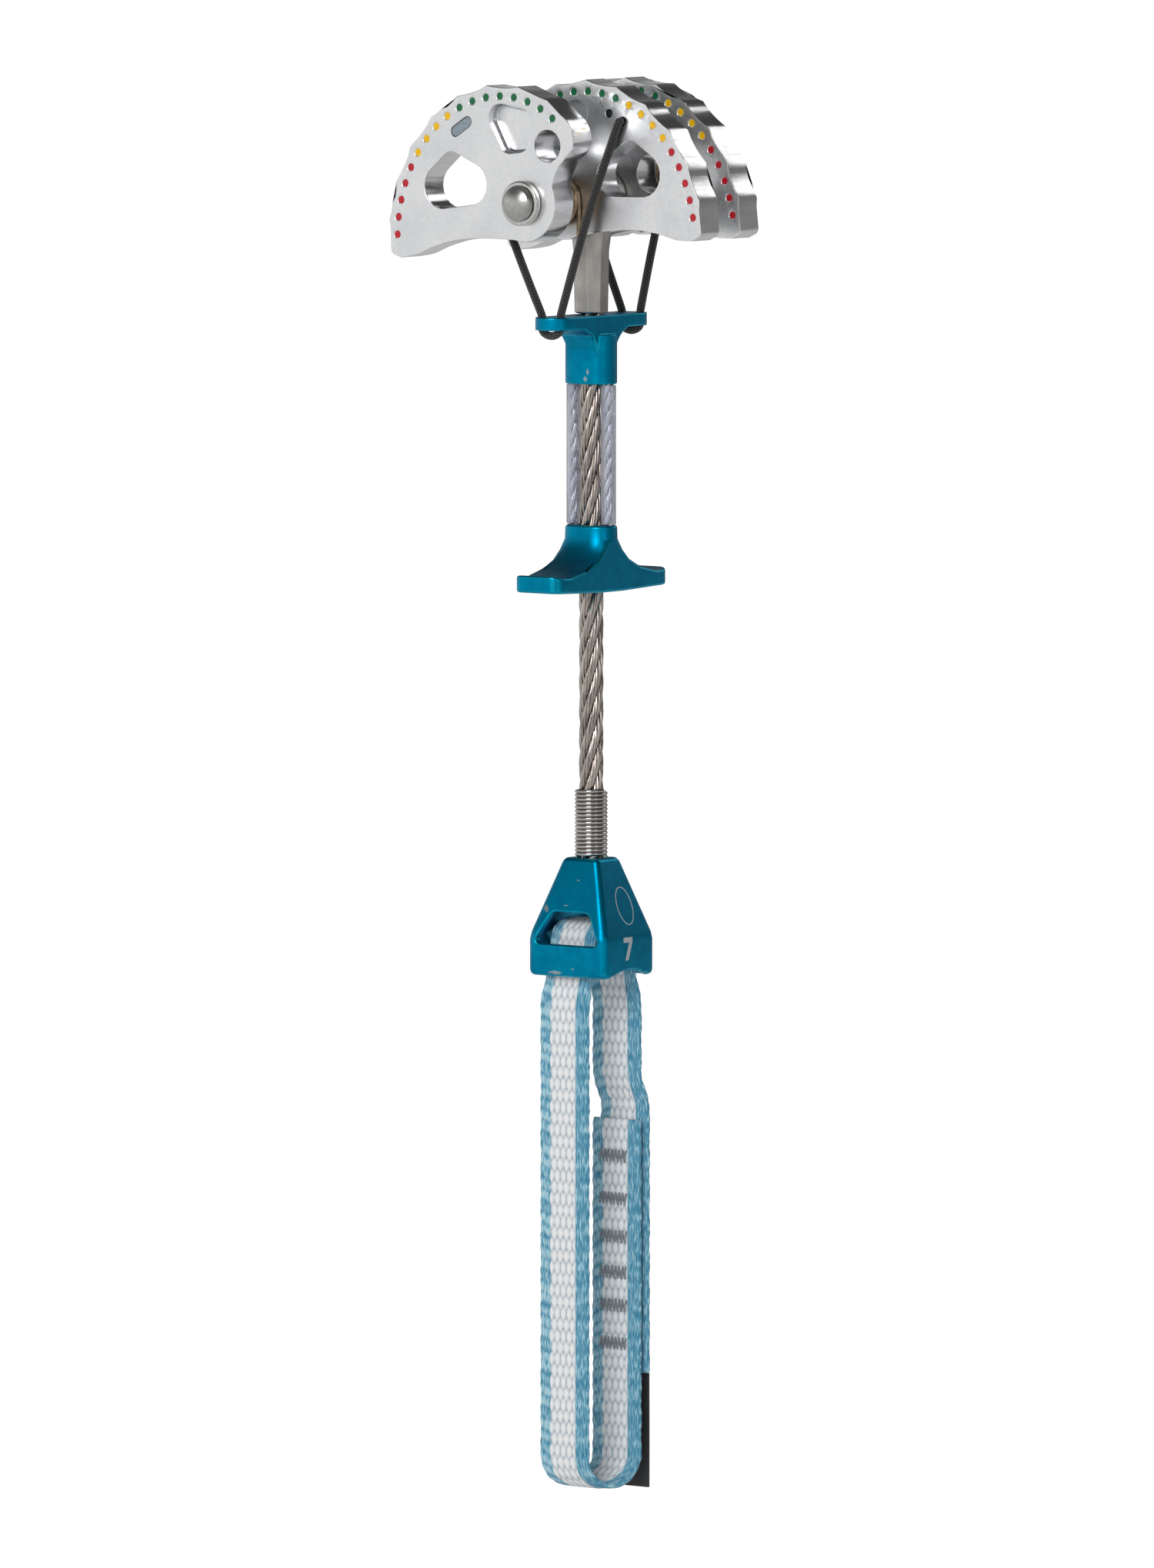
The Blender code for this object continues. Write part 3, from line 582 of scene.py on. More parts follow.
@dataclass(frozen=True)
class AnodisedFinish:
    """Dyed anodised alloy with a fine blasted texture and pale scuffs down to bare metal."""

    name: str
    light: Colour
    deep: Colour
    bare: Colour = (0.34, 0.44, 0.48)
    scuffs: tuple[Scuff, ...] = ()
    rubbed: float = 0.0

    def make(self) -> bpy.types.Material:
        """Builds the material."""
        shade = Shade(self.name)
        shade.fixed(Metallic=1.0)
        graph = shade.graph
        fine = shade.effect(Effect.GRAIN, Vector=shade.place, Scale=2600.0, Detail=2.0).outputs[0]
        cloud = shade.mottle(420.0, 5.0)
        share = graph.maths(
            "ADD", graph.maths("MULTIPLY", cloud, 0.65), graph.maths("MULTIPLY", fine, 0.35)
        )
        colour = graph.blend(share, self.light, self.deep)
        worn = shade.effect(
            Effect.WEAR, Vector=shade.place, Scale=700.0, Cover=self.rubbed
        ).outputs[0]
        for spot in self.scuffs:
            mask = shade.effect(
                Effect.SCUFF, Vector=shade.place, Centre=spot.centre, Half=spot.half, Rag=spot.rag
            )
            worn = graph.maths("MAXIMUM", worn, mask.outputs[0])
        shade.paint(graph.blend(worn, colour, self.bare))
        shade.gloss(graph.spread(share, 0.0, 1.0, 0.34, 0.44))
        shade.relief(fine, 0.000005)
        return shade.material


@dataclass(frozen=True)
class PaintFinish:
    """Thick enamel or print with a slightly uneven surface."""

    name: str
    colour: Colour
    shadow: Colour
    roughness: float = 0.3
    cloud: float = 2200.0

    def make(self) -> bpy.types.Material:
        """Builds the material."""
        shade = Shade(self.name)
        cloud = shade.mottle(self.cloud)
        shade.paint(shade.graph.blend(cloud, self.colour, self.shadow))
        shade.gloss(shade.graph.spread(cloud, 0.0, 1.0, self.roughness, self.roughness + 0.15))
        shade.relief(cloud, 0.00001)
        return shade.material


@dataclass(frozen=True)
class TubeFinish:
    """Milky clear plastic tubing."""

    name: str
    tint: Colour
    cloudy: Colour

    def make(self) -> bpy.types.Material:
        """Builds the material."""
        shade = Shade(self.name)
        shade.fixed(Transmission_Weight=0.82, IOR=1.35, Metallic=0.0)
        streak = shade.effect(
            Effect.GRAIN, Vector=shade.place, Scale=700.0, Stretch=(1.0, 1.0, 0.15)
        ).outputs[0]
        shade.paint(shade.graph.blend(streak, self.tint, self.cloudy))
        shade.gloss(shade.graph.spread(streak, 0.0, 1.0, 0.16, 0.3))
        shade.relief(streak, 0.00002)
        return shade.material


@dataclass(frozen=True)
class CordFinish:
    """Braided cord, whose crossing yarns follow the cord's own length."""

    name: str
    crest: Colour
    gap: Colour
    yarns: float = 6.0

    def make(self) -> bpy.types.Material:
        """Builds the material."""
        shade = Shade(self.name)
        shade.fixed(Sheen_Weight=0.35, Sheen_Roughness=0.4)
        graph = shade.graph
        around = shade.attribute("around")
        along = shade.attribute("along")
        braid = shade.effect(Effect.BRAID, Around=around, Along=along, Yarns=self.yarns)
        fuzz = shade.mottle(5200.0, 2.0)
        lit = graph.maths(
            "MULTIPLY", braid.outputs["Height"], graph.spread(fuzz, 0.0, 1.0, 0.7, 1.0)
        )
        # Painted shade: the gap colour darkens the cord between the yarn crests, where the braid
        # stands low
        shade.paint(graph.blend(lit, self.gap, self.crest))
        shade.gloss(graph.spread(lit, 0.0, 1.0, 0.8, 0.5))
        shade.relief(braid.outputs["Height"], 0.00022)
        return shade.material


@dataclass(frozen=True)
class WebbingFinish:
    """Woven tape: a pale knotted middle between two ribbed coloured edges, with painted shade and
    highlight.
    """

    name: str
    pale: Colour
    pale_gap_shade: Colour
    edge: Colour
    edge_highlight_and_streak: Colour
    edge_shade_and_streak: Colour
    half_middle: float
    row: float

    def make(self) -> bpy.types.Material:
        """Builds the material."""
        shade = Shade(self.name)
        shade.fixed(Sheen_Weight=0.25, Sheen_Roughness=0.5)
        graph = shade.graph
        across, along, lift = (shade.attribute(n) for n in ("across", "along", "lift"))
        off = graph.maths("ABSOLUTE", across)
        outer = graph.spread(off, self.half_middle - 0.1, self.half_middle + 0.1, 0.0, 1.0)
        spot = graph.add(
            "ShaderNodeCombineXYZ", {0: across, 1: graph.maths("MULTIPLY", along, 0.16)}
        ).outputs[0]
        streaks = graph.add(
            "ShaderNodeTexNoise", {"Vector": spot, "Scale": 3.4, "Detail": 3.0}
        ).outputs[0]
        streak = graph.spread(streaks, 0.38, 0.62, 0.0, 1.0)
        wave = graph.maths("SINE", graph.maths("MULTIPLY", along, 2 * math.pi / (3 * self.row)))
        band = graph.spread(wave, -0.2, 0.9, 0.0, 0.22)
        # lit: yarn height gives painted highlight on raised yarn and painted shade in the gaps, over
        # the tape's random streaks
        lit = graph.maths("MULTIPLY", graph.maths("ADD", lift, streak), 0.62)
        lit = graph.maths("SUBTRACT", lit, band, clamp=True)
        dyed_and_shaded = graph.blend(lit, self.edge_shade_and_streak, self.edge)
        dyed_and_shaded = graph.blend(graph.spread(lit, 0.5, 1.0, 0.0, 0.85), dyed_and_shaded, self.edge_highlight_and_streak)
        # Painted shade: the pale middle darkens toward its gap colour where the knots stand low
        plain = graph.blend(graph.spread(lift, 0.0, 0.85, 0.0, 1.0), self.pale_gap_shade, self.pale)
        shade.paint(graph.blend(outer, plain, dyed_and_shaded))
        shade.gloss(graph.spread(lift, 0.0, 1.0, 0.85, 0.6))
        swing = graph.maths("SINE", graph.maths("MULTIPLY", along, math.pi / self.row))
        swayed = graph.maths("ADD", across, graph.maths("MULTIPLY", swing, RIB_SWAY))
        ribs = graph.maths("SINE", graph.maths("MULTIPLY", swayed, 2 * math.pi / RIB_PITCH))
        threads = graph.maths("SINE", graph.maths("MULTIPLY", across, 2 * math.pi / THREAD_PITCH))
        height = graph.maths(
            "ADD", graph.maths("MULTIPLY", ribs, outer), graph.maths("MULTIPLY", threads, 0.18)
        )
        shade.relief(height, 0.00006)
        return shade.material


@dataclass(frozen=True)
class LabelFinish:
    """A thin black woven label."""

    name: str
    crest: Colour
    gap: Colour
    pitch: float = 0.00035

    def make(self) -> bpy.types.Material:
        """Builds the material."""
        shade = Shade(self.name)
        shade.fixed(Sheen_Weight=0.2)
        graph = shade.graph
        parts = graph.add("ShaderNodeSeparateXYZ", {0: shade.place})
        around = graph.maths("DIVIDE", parts.outputs[0], self.pitch)
        along = graph.maths("DIVIDE", parts.outputs[2], self.pitch)
        weave = shade.effect(Effect.BRAID, Around=around, Along=along, Yarns=1.0)
        # Painted shade: the gap colour darkens the label between the yarn crests
        shade.paint(graph.blend(weave.outputs["Height"], self.gap, self.crest))
        shade.gloss(graph.spread(weave.outputs["Height"], 0.0, 1.0, 0.9, 0.65))
        shade.relief(weave.outputs["Height"], 0.00004)
        return shade.material


class Finishes:
    """Every material of the device, made once."""

    def __init__(self) -> None:
        """Builds the materials."""
        face = MetalFinish(
            "tumbled_alloy", (0.92, 0.925, 0.93), (0.78, 0.79, 0.805), 0.26, 0.38, 1500.0
        )
        self.lobe_face = face.make()
        self.lobe_rim = MetalFinish(
            "polished_chamfer", (0.95, 0.95, 0.96), (0.82, 0.83, 0.85), 0.10, 0.2, 2200.0,
            depth=0.000002
        ).make()
        # The pocket finish is darker than the face: painted shade in the pocket's rounded corner
        self.lobe_pocket_shade = MetalFinish(
            "pocket_corner_shade", (0.66, 0.67, 0.69), (0.46, 0.47, 0.50), 0.14, 0.24, 1200.0,
            depth=0.000003
        ).make()
        self.lobe_edge = MetalFinish(
            "milled_edge", (0.88, 0.88, 0.89), (0.66, 0.66, 0.68), 0.12, 0.26, 1300.0,
            (1.0, 0.12, 1.0), 0.000006
        ).make()
        self.axle = MetalFinish(
            "turned_steel", (0.60, 0.60, 0.58), (0.36, 0.37, 0.36), 0.24, 0.38, 1100.0
        ).make()
        self.washer = MetalFinish(
            "bright_steel", (0.72, 0.71, 0.69), (0.52, 0.51, 0.49), 0.16, 0.26, 1500.0
        ).make()
        self.stem = MetalFinish(
            "forged_steel", (0.56, 0.54, 0.50), (0.34, 0.32, 0.31), 0.3, 0.46, 700.0,
            (1.0, 1.0, 0.25), 0.00002, 240.0
        ).make()
        # The wire's light and dark tones are painted highlight and shadow tones, spread at random
        # along the wires
        self.rope = MetalFinish(
            "drawn_wire", (0.72, 0.66, 0.60), (0.26, 0.22, 0.20), 0.16, 0.32, 900.0,
            (1.0, 1.0, 0.1), 0.000003, 300.0
        ).make()
        # The rope's core is near black as painted shade seen between the strands
        self.core = MetalFinish(
            "rope_core_shade", (0.05, 0.042, 0.04), (0.02, 0.016, 0.015), 0.5, 0.7, 900.0
        ).make()
        self.coil = MetalFinish(
            "sprung_steel", (0.72, 0.69, 0.66), (0.42, 0.39, 0.37), 0.14, 0.24, 1200.0,
            (0.2, 0.2, 1.0), 0.000003
        ).make()
        self.spring = MetalFinish(
            "bronzed_wire", (0.58, 0.44, 0.29), (0.20, 0.14, 0.09), 0.2, 0.34, 900.0
        ).make()
        self.link_wire = MetalFinish(
            "pale_wire", (0.95, 0.95, 0.96), (0.70, 0.72, 0.76), 0.2, 0.34, 900.0
        ).make()
        light, deep = (0.0, 0.30, 0.49), (0.0, 0.205, 0.375)
        self.trigger = AnodisedFinish(
            "teal_trigger", light, deep,
            scuffs=(
                Scuff((1.7 * MM, -3.6 * MM, -31.9 * MM), (0.35 * MM, 1.2 * MM, 0.8 * MM)),
                Scuff((1.2 * MM, -3.6 * MM, -33.1 * MM), (0.7 * MM, 1.2 * MM, 0.6 * MM)),
            ),
        ).make()
        self.block = AnodisedFinish(
            "teal_block", light, deep,
            scuffs=(
                Scuff((-2.4 * MM, -7.9 * MM, -143.4 * MM), (2.0 * MM, 1.0 * MM, 0.45 * MM)),
                Scuff((1.6 * MM, -7.9 * MM, -142.6 * MM), (0.3 * MM, 0.8 * MM, 0.25 * MM)),
                Scuff((-5.6 * MM, -6.2 * MM, -131.8 * MM), (0.8 * MM, 1.2 * MM, 0.9 * MM)),
                Scuff((0.6 * MM, -4.7 * MM, -126.3 * MM), (0.5 * MM, 0.8 * MM, 0.15 * MM)),
                Scuff((-1.2 * MM, -6.1 * MM, -131.0 * MM), (0.7 * MM, 1.0 * MM, 0.15 * MM)),
            ),
        ).make()
        self.teal_rim = AnodisedFinish(
            "teal_edge", (0.01, 0.40, 0.58), (0.0, 0.27, 0.43), rubbed=0.32
        ).make()
        self.tube = TubeFinish("milky_tube", (0.94, 0.95, 1.0), (0.80, 0.83, 0.95)).make()
        # The cord's second colour is painted shade between the yarns
        self.cord = CordFinish("black_braid", (0.055, 0.05, 0.05), (0.001, 0.001, 0.001)).make()
        self.anchor = PaintFinish(
            "anchor_resin", (0.30, 0.37, 0.41), (0.20, 0.26, 0.30), 0.4
        ).make()
        self.print = PaintFinish("pale_print", (0.60, 0.63, 0.66), (0.40, 0.45, 0.50), 0.5).make()
        self.red = PaintFinish(
            "red_enamel", (0.60, 0.006, 0.022), (0.46, 0.003, 0.014), 0.22
        ).make()
        self.yellow = PaintFinish(
            "yellow_enamel", (0.98, 0.60, 0.0), (0.85, 0.46, 0.0), 0.22
        ).make()
        self.green = PaintFinish(
            "green_enamel", (0.0, 0.17, 0.055), (0.0, 0.10, 0.032), 0.22
        ).make()
        # The webbing's gap, dark edge and light edge colours are painted shade and highlight, set by
        # the yarn height
        self.webbing = WebbingFinish(
            "woven_tape", (0.98, 0.98, 0.98), (0.46, 0.55, 0.62), (0.20, 0.54, 0.72),
            (0.56, 0.85, 0.94),
            (0.03, 0.25, 0.42), 2.9, 2.14,
        ).make()
        self.tack = PaintFinish(
            "grey_thread", (0.34, 0.37, 0.40), (0.20, 0.22, 0.25), 0.7, 4200.0
        ).make()
        # The label's second colour is painted shade between the yarns
        self.label = LabelFinish("label_weave", (0.035, 0.036, 0.04), (0.008, 0.008, 0.01)).make()
        self.thread = PaintFinish(
            "pale_thread", (0.62, 0.64, 0.66), (0.40, 0.42, 0.45), 0.75, 4200.0
        ).make()


# ---------------------------------------------------------------- refined solids


@dataclass
class MachinedPart:
    """A machined solid with its sharp edges broken and its curves shaded round."""

    node: str
    name: str
    body: str
    slot: str
    chamfer: float
    segments: int = 3
    sharp: float = 32.0
    merge: float = 0.000004

    def copy_out(self, nodes: dict[str, bpy.types.Object]) -> bpy.types.Object:
        """Copies the solid's mesh and closes it by joining its loose triangles.

        Args:
            nodes: The frame's solids by name.

        Returns:
            The copy.
        """
        mesh = nodes[self.node].data.copy()
        mesh.name = self.name
        shading = ("custom_normal", "sharp_face", "sharp_edge")
        for layer in [a.name for a in mesh.attributes if a.name in shading]:
            mesh.attributes.remove(mesh.attributes[layer])
        piece = bpy.data.objects.new(self.name, mesh)
        bpy.context.scene.collection.objects.link(piece)
        take_up(piece)
        start_edit("VERT")
        bpy.ops.mesh.select_all(action="SELECT")
        bpy.ops.mesh.remove_doubles(threshold=self.merge)
        end_edit()
        return piece

    def flatten(self, piece: bpy.types.Object) -> None:
        """Makes one face of every flat run of triangles.

        Args:
            piece: The copied solid.
        """
        take_up(piece)
        start_edit()
        bpy.ops.mesh.select_all(action="SELECT")
        bpy.ops.mesh.dissolve_limited(angle_limit=math.radians(0.6))
        end_edit()

    def break_edges(self, piece: bpy.types.Object, face: object, rim: object) -> None:
        """Rounds the sharp edges, which take the rim finish.

        Args:
            piece: The copied solid.
            face: The finish of the faces.
            rim: The finish of the rounded edges.
        """
        piece.data.materials.clear()
        piece.data.materials.append(face)
        piece.data.materials.append(rim)
        for polygon in piece.data.polygons:
            polygon.material_index = 0
        apply_tool(
            piece, "BEVEL", width=self.chamfer, segments=self.segments, limit_method="ANGLE",
            angle_limit=math.radians(self.sharp), material=1, use_clamp_overlap=False,
            miter_outer="MITER_ARC",
        )

    def build(
        self, nodes: dict[str, bpy.types.Object], face: object, rim: object
    ) -> bpy.types.Object:
        """Copies, rounds and shades the solid, and hands it over.

        Args:
            nodes: The frame's solids by name.
            face: The finish of the faces.
            rim: The finish of the rounded edges.

        Returns:
            The finished piece.
        """
        piece = self.copy_out(nodes)
        self.flatten(piece)
        self.break_edges(piece, face, rim)
        apply_tool(piece, "TRIANGULATE", min_vertices=5)
        smooth(piece, self.sharp + 6.0, weighted=True)
        return hand_over(piece, self.body, [self.node])


# ---------------------------------------------------------------- head


class Opening(Enum):
    """Which way a lobe's tip points."""

    LEFT = -1
    RIGHT = 1


@dataclass
class Lobe:
    """One toothed cam lobe with painted size dots along its working edge."""

    row: str
    pair: str
    cam_radius: float = 30.73 * MM
    slope: float = math.tan(math.radians(13.25))
    lead: float = math.radians(8.4)
    dot_inset: float = 2.25 * MM
    dot_pitch: float = 3.2 * MM
    dot_radius: float = 0.82 * MM
    dot_depth: float = 0.3 * MM
    first_dot: float = math.radians(-12.6)
    counts: tuple[int, int, int] = (5, 4, 8)
    dimple_share: float = 0.3
    tooth_reach: float = 0.8 * MM
    tooth_corner: float = math.radians(10.0)
    toothed: tuple[float, float] = (math.radians(-10.0), math.radians(84.0))
    deeper: float = 0.6
    pocket_round: float = 0.7 * MM
    least_floor: float = 25 * MM * MM

    @property
    def opening(self) -> Opening:
        """Which way the tip points."""
        return Opening.LEFT if self.pair == "outer" else Opening.RIGHT

    @property
    def node(self) -> str:
        """The lobe's solid."""
        return f"lobe_{self.row}_{self.pair}"

    def on_lobe(self, x: float, z: float) -> tuple[float, float]:
        """A point of the left-pointing profile, moved to where this lobe has it.

        Args:
            x: Across, in metres.
            z: Up, in metres.

        Returns:
            The point's X and Z.
        """
        if self.opening is Opening.LEFT:
            return x, z
        turned = Matrix.Rotation(-self.lead, 3, "Y") @ Vector((-x, 0.0, z))
        return turned.x, turned.z

    def dot_places(self) -> list[tuple[float, float]]:
        """The dots' centres in X and Z, from the tip round to the lug."""
        places = []
        angle = self.first_dot
        for _ in range(sum(self.counts)):
            radius = self.cam_radius * math.exp(-self.slope * angle) - self.dot_inset
            places.append(self.on_lobe(-radius * math.cos(angle), radius * math.sin(angle)))
            angle += self.dot_pitch / radius
        return places

    def dimple_cutters(self, faces: Sequence[float]) -> bpy.types.Object:
        """The drills for the dots, as one piece.

        Args:
            faces: The Y of the lobe's two faces.

        Returns:
            The joined cutters.
        """
        made = []
        middle = sum(faces) / 2
        for y in faces:
            outward = math.copysign(1.0, y - middle)
            for x, z in self.dot_places():
                let_go()
                bpy.ops.mesh.primitive_cone_add(
                    vertices=18, radius1=self.dot_radius * 1.2, radius2=self.dot_radius * 0.72,
                    depth=2 * self.dot_depth, location=(x, y, z),
                    rotation=(outward * math.pi / 2, 0.0, 0.0),
                )
                made.append(bpy.context.object)
        cutter = joined("dot_drills", made)
        settle(cutter)
        return cutter

    def dots(self, faces: Sequence[float], paints: Sequence[object]) -> bpy.types.Object:
        """The enamel that fills the dimples, slightly dished.

        Args:
            faces: The Y of the lobe's two faces.
            paints: The enamels from the tip round.

        Returns:
            The joined dots.
        """
        middle = sum(faces) / 2
        let_go()
        bpy.ops.mesh.primitive_circle_add(vertices=18, radius=self.dot_radius, fill_type="NGON")
        start = take_up(bpy.context.object)
        start_edit()
        bpy.ops.mesh.select_all(action="SELECT")
        bpy.ops.mesh.inset(thickness=self.dot_radius * 0.3, depth=-0.05 * MM)
        bpy.ops.mesh.inset(thickness=self.dot_radius * 0.3, depth=-0.03 * MM)
        end_edit()
        settle(start)
        made = []
        for y in faces:
            outward = math.copysign(1.0, y - middle)
            for number, (x, z) in enumerate(self.dot_places()):
                colour = 0 if number < self.counts[0] else 1 if number < sum(self.counts[:2]) else 2
                dot = start.copy()
                dot.data = start.data.copy()
                bpy.context.scene.collection.objects.link(dot)
                turn = Matrix.Rotation(-outward * math.pi / 2, 4, "X")
                dot.data.transform(
                    Matrix.Translation((x, y - outward * self.dot_depth * 0.4, z)) @ turn
                )
                dot.data.materials.append(paints[colour])
                made.append(dot)
        bpy.data.objects.remove(start)
        whole = joined(f"size_dots_{self.row}_{self.pair}", made)
        smooth(whole, 60)
        return whole

    def paint_edges(self, piece: bpy.types.Object, faces: Sequence[float]) -> None:
        """Gives the walls between the two faces the milled finish.

        Args:
            piece: The lobe.
            faces: The Y of the lobe's two faces.
        """
        for polygon in piece.data.polygons:
            inside = faces[0] + 0.1 * MM < polygon.center.y < faces[1] - 0.1 * MM
            polygon.material_index = 2 if inside and abs(polygon.normal.y) < 0.1 else 0

    def mark_rims(self, piece: bpy.types.Object, faces: Sequence[float]) -> None:
        """Marks the edges to be broken: where a wall meets a face, and the dimples' rims.

        Args:
            piece: The lobe.
            faces: The Y of the lobe's two faces.
        """
        touching: dict[tuple[int, int], float] = {}
        for polygon in piece.data.polygons:
            upright = abs(polygon.normal.y)
            share = 1.0 if upright < 0.1 else self.dimple_share if upright < 0.98 else 0.0
            for key in polygon.edge_keys:
                touching[key] = max(share, touching.get(key, 0.0))
        weights = piece.data.attributes.new("bevel_weight_edge", "FLOAT", "EDGE")
        points = piece.data.vertices
        for edge in piece.data.edges:
            heights = [points[v].co.y for v in edge.vertices]
            on_face = any(max(abs(y - face) for y in heights) < 0.01 * MM for face in faces)
            weights.data[edge.index].value = touching.get(edge.key, 0.0) if on_face else 0.0

    def fill_corners(self, piece: bpy.types.Object, faces: Sequence[float]) -> None:
        """Rounds the corner between the cast pocket's floor and its walls, in the darker pocket finish
        as painted shade.

        Args:
            piece: The lobe.
            faces: The Y of the lobe's two faces.
        """
        floors = [p for p in piece.data.polygons
                  if abs(p.normal.y) > 0.99 and faces[0] + 0.3 * MM < p.center.y < faces[1] - 0.3 * MM]
        floor = max(floors, key=lambda p: p.area)
        if floor.area < self.least_floor:
            return
        wanted = set(floor.edge_keys)
        weights = piece.data.attributes["bevel_weight_edge"]
        for edge in piece.data.edges:
            weights.data[edge.index].value = float(edge.key in wanted)
        apply_tool(piece, "BEVEL", width=self.pocket_round, segments=6, limit_method="WEIGHT",
                   material=3, use_clamp_overlap=False)

    def from_lobe(self, point: Vector) -> tuple[float, float]:
        """A point of this lobe in polar form, as the left-pointing profile has it.

        Args:
            point: The point.

        Returns:
            Its distance in from the working spiral, and its angle up from the tip's side.
        """
        place = point.copy()
        if self.opening is Opening.RIGHT:
            place.rotate(Matrix.Rotation(self.lead, 3, "Y"))
            place.x = -place.x
        angle = math.atan2(place.z, -place.x)
        return self.cam_radius * math.exp(-self.slope * angle) - math.hypot(place.x, place.z), angle

    def deepen_teeth(self, piece: bpy.types.Object) -> None:
        """Hollows the runs between the teeth a little more than the solid has them.

        Args:
            piece: The lobe.
        """
        for point in piece.data.vertices:
            inset, angle = self.from_lobe(point.co)
            if 0.01 * MM < inset < self.tooth_reach and self.toothed[0] < angle < self.toothed[1]:
                reach = math.hypot(point.co.x, point.co.z)
                share = 1 - inset * self.deeper / reach
                point.co.x, point.co.z = point.co.x * share, point.co.z * share

    def keep_teeth(self, piece: bpy.types.Object) -> None:
        """Keeps the low teeth of the working edge sharp, which a smoothing angle would blend.

        Args:
            piece: The lobe.
        """
        normals: dict[tuple[int, int], list[Vector]] = {}
        for polygon in piece.data.polygons:
            for key in polygon.edge_keys:
                normals.setdefault(key, []).append(polygon.normal)
        points = piece.data.vertices
        for edge in piece.data.edges:
            first, second = (points[v].co for v in edge.vertices)
            between = normals[edge.key]
            if len(between) != 2 or math.hypot(first.x - second.x, first.z - second.z) > 0.01 * MM:
                continue
            inset, _ = self.from_lobe(first)
            if abs(inset) < self.tooth_reach and between[0].angle(between[1]) > self.tooth_corner:
                edge.use_edge_sharp = True

    def build(self, nodes: dict[str, bpy.types.Object], looks: Finishes) -> None:
        """Builds the lobe and its dots."""
        low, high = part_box(self.node)
        faces = (low.y, high.y)
        part = MachinedPart(
            self.node, f"cam_lobe_{self.row}_{self.pair}", f"{self.row}_{self.pair}_lobe",
            "polished_alloy", 0.2 * MM
        )
        piece = part.copy_out(nodes)
        piece.data.materials.clear()
        for finish in (looks.lobe_face, looks.lobe_rim, looks.lobe_edge, looks.lobe_pocket_shade):
            piece.data.materials.append(finish)
        self.deepen_teeth(piece)
        cutter = self.dimple_cutters(faces)
        apply_tool(piece, "BOOLEAN", operation="DIFFERENCE", object=cutter, solver="MANIFOLD")
        bpy.data.objects.remove(cutter)
        part.flatten(piece)
        self.paint_edges(piece, faces)
        self.mark_rims(piece, faces)
        apply_tool(piece, "BEVEL", width=part.chamfer, segments=2, limit_method="WEIGHT",
                   material=1, use_clamp_overlap=False)
        self.fill_corners(piece, faces)
        apply_tool(piece, "TRIANGULATE", min_vertices=5)
        smooth(piece, 38.0)
        self.keep_teeth(piece)
        apply_tool(piece, "WEIGHTED_NORMAL", weight=100, keep_sharp=True)
        hand_over(piece, part.body, [self.node])
        hand_over(self.dots(faces, (looks.red, looks.yellow, looks.green)), part.body)
        anchor = nodes[f"cord_anchor_{self.row}_{self.pair}"]
        anchor.data.materials.clear()
        anchor.data.materials.append(looks.anchor)


@dataclass
class TorsionSpring:
    """The close-wound spring round the axle, with a leg toward each lobe of its pair."""

    row: str
    coil_radius: float = 4.35 * MM
    wire: float = 0.4 * MM
    turns: int = 5
    leg: float = 6.4 * MM

    def route(self) -> list[Point]:
        """The wire's middle line, down one leg, round its coil and up the other leg."""
        low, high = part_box(f"torsion_spring_{self.row}")
        start, stop = low.y + self.wire, high.y - self.wire
        if self.row == "front":
            start, stop = stop, start
        steps = 28 * self.turns
        coil = []
        for i in range(steps + 1):
            turn = 2 * math.pi * self.turns * i / steps
            coil.append((self.coil_radius * math.cos(turn), start + (stop - start) * i / steps,
                         self.coil_radius * math.sin(turn)))
        first = [
            (coil[0][0], coil[0][1], -self.leg + (self.leg - 0.3 * MM) * i / 6) for i in range(7)
        ]
        last = [
            (coil[-1][0], coil[-1][1], self.leg - (self.leg - 0.3 * MM) * i / 6) for i in range(7)
        ]
        return first + coil[1:-1] + last[::-1]

    def build(self, looks: Finishes) -> None:
        """Builds the spring."""
        node = f"torsion_spring_{self.row}"
        piece = wires(f"spring_{self.row}", [self.route()], self.wire, 3)
        hand_over(piece, "stem", [node], looks.spring)


@dataclass
class Head:
    """The lobes, the axle and what is stacked on it, and the forged end of the stem."""

    rows: tuple[str, str] = ("front", "back")
    pairs: tuple[str, str] = ("outer", "inner")
    parts: list[MachinedPart] = field(default_factory=lambda: [
        MachinedPart("axle", "riveted_axle", "stem", "bright_steel", 0.18 * MM, 3, 30.0),
        MachinedPart("washer_front", "thrust_washer_front", "stem", "bright_steel", 0.28 * MM, 3),
        MachinedPart("washer_back", "thrust_washer_back", "stem", "bright_steel", 0.28 * MM, 3),
        MachinedPart("spacer_bush_front", "spacer_tube_front", "stem", "stem_steel", 0.15 * MM),
        MachinedPart("spacer_bush_back", "spacer_tube_back", "stem", "stem_steel", 0.15 * MM),
        MachinedPart("stem_head", "forged_stem_end", "stem", "stem_steel", 0.3 * MM, 3, 26.0),
    ])

    def build(self, nodes: dict[str, bpy.types.Object], looks: Finishes) -> None:
        """Builds the whole head."""
        finish = {"axle": looks.axle, "washer_front": looks.washer, "washer_back": looks.washer}
        for part in self.parts:
            chosen = finish.get(part.node, looks.stem)
            part.build(nodes, chosen, chosen)
        for row in self.rows:
            TorsionSpring(row).build(looks)
            for pair in self.pairs:
                Lobe(row, pair).build(nodes, looks)


# ---------------------------------------------------------------- stem


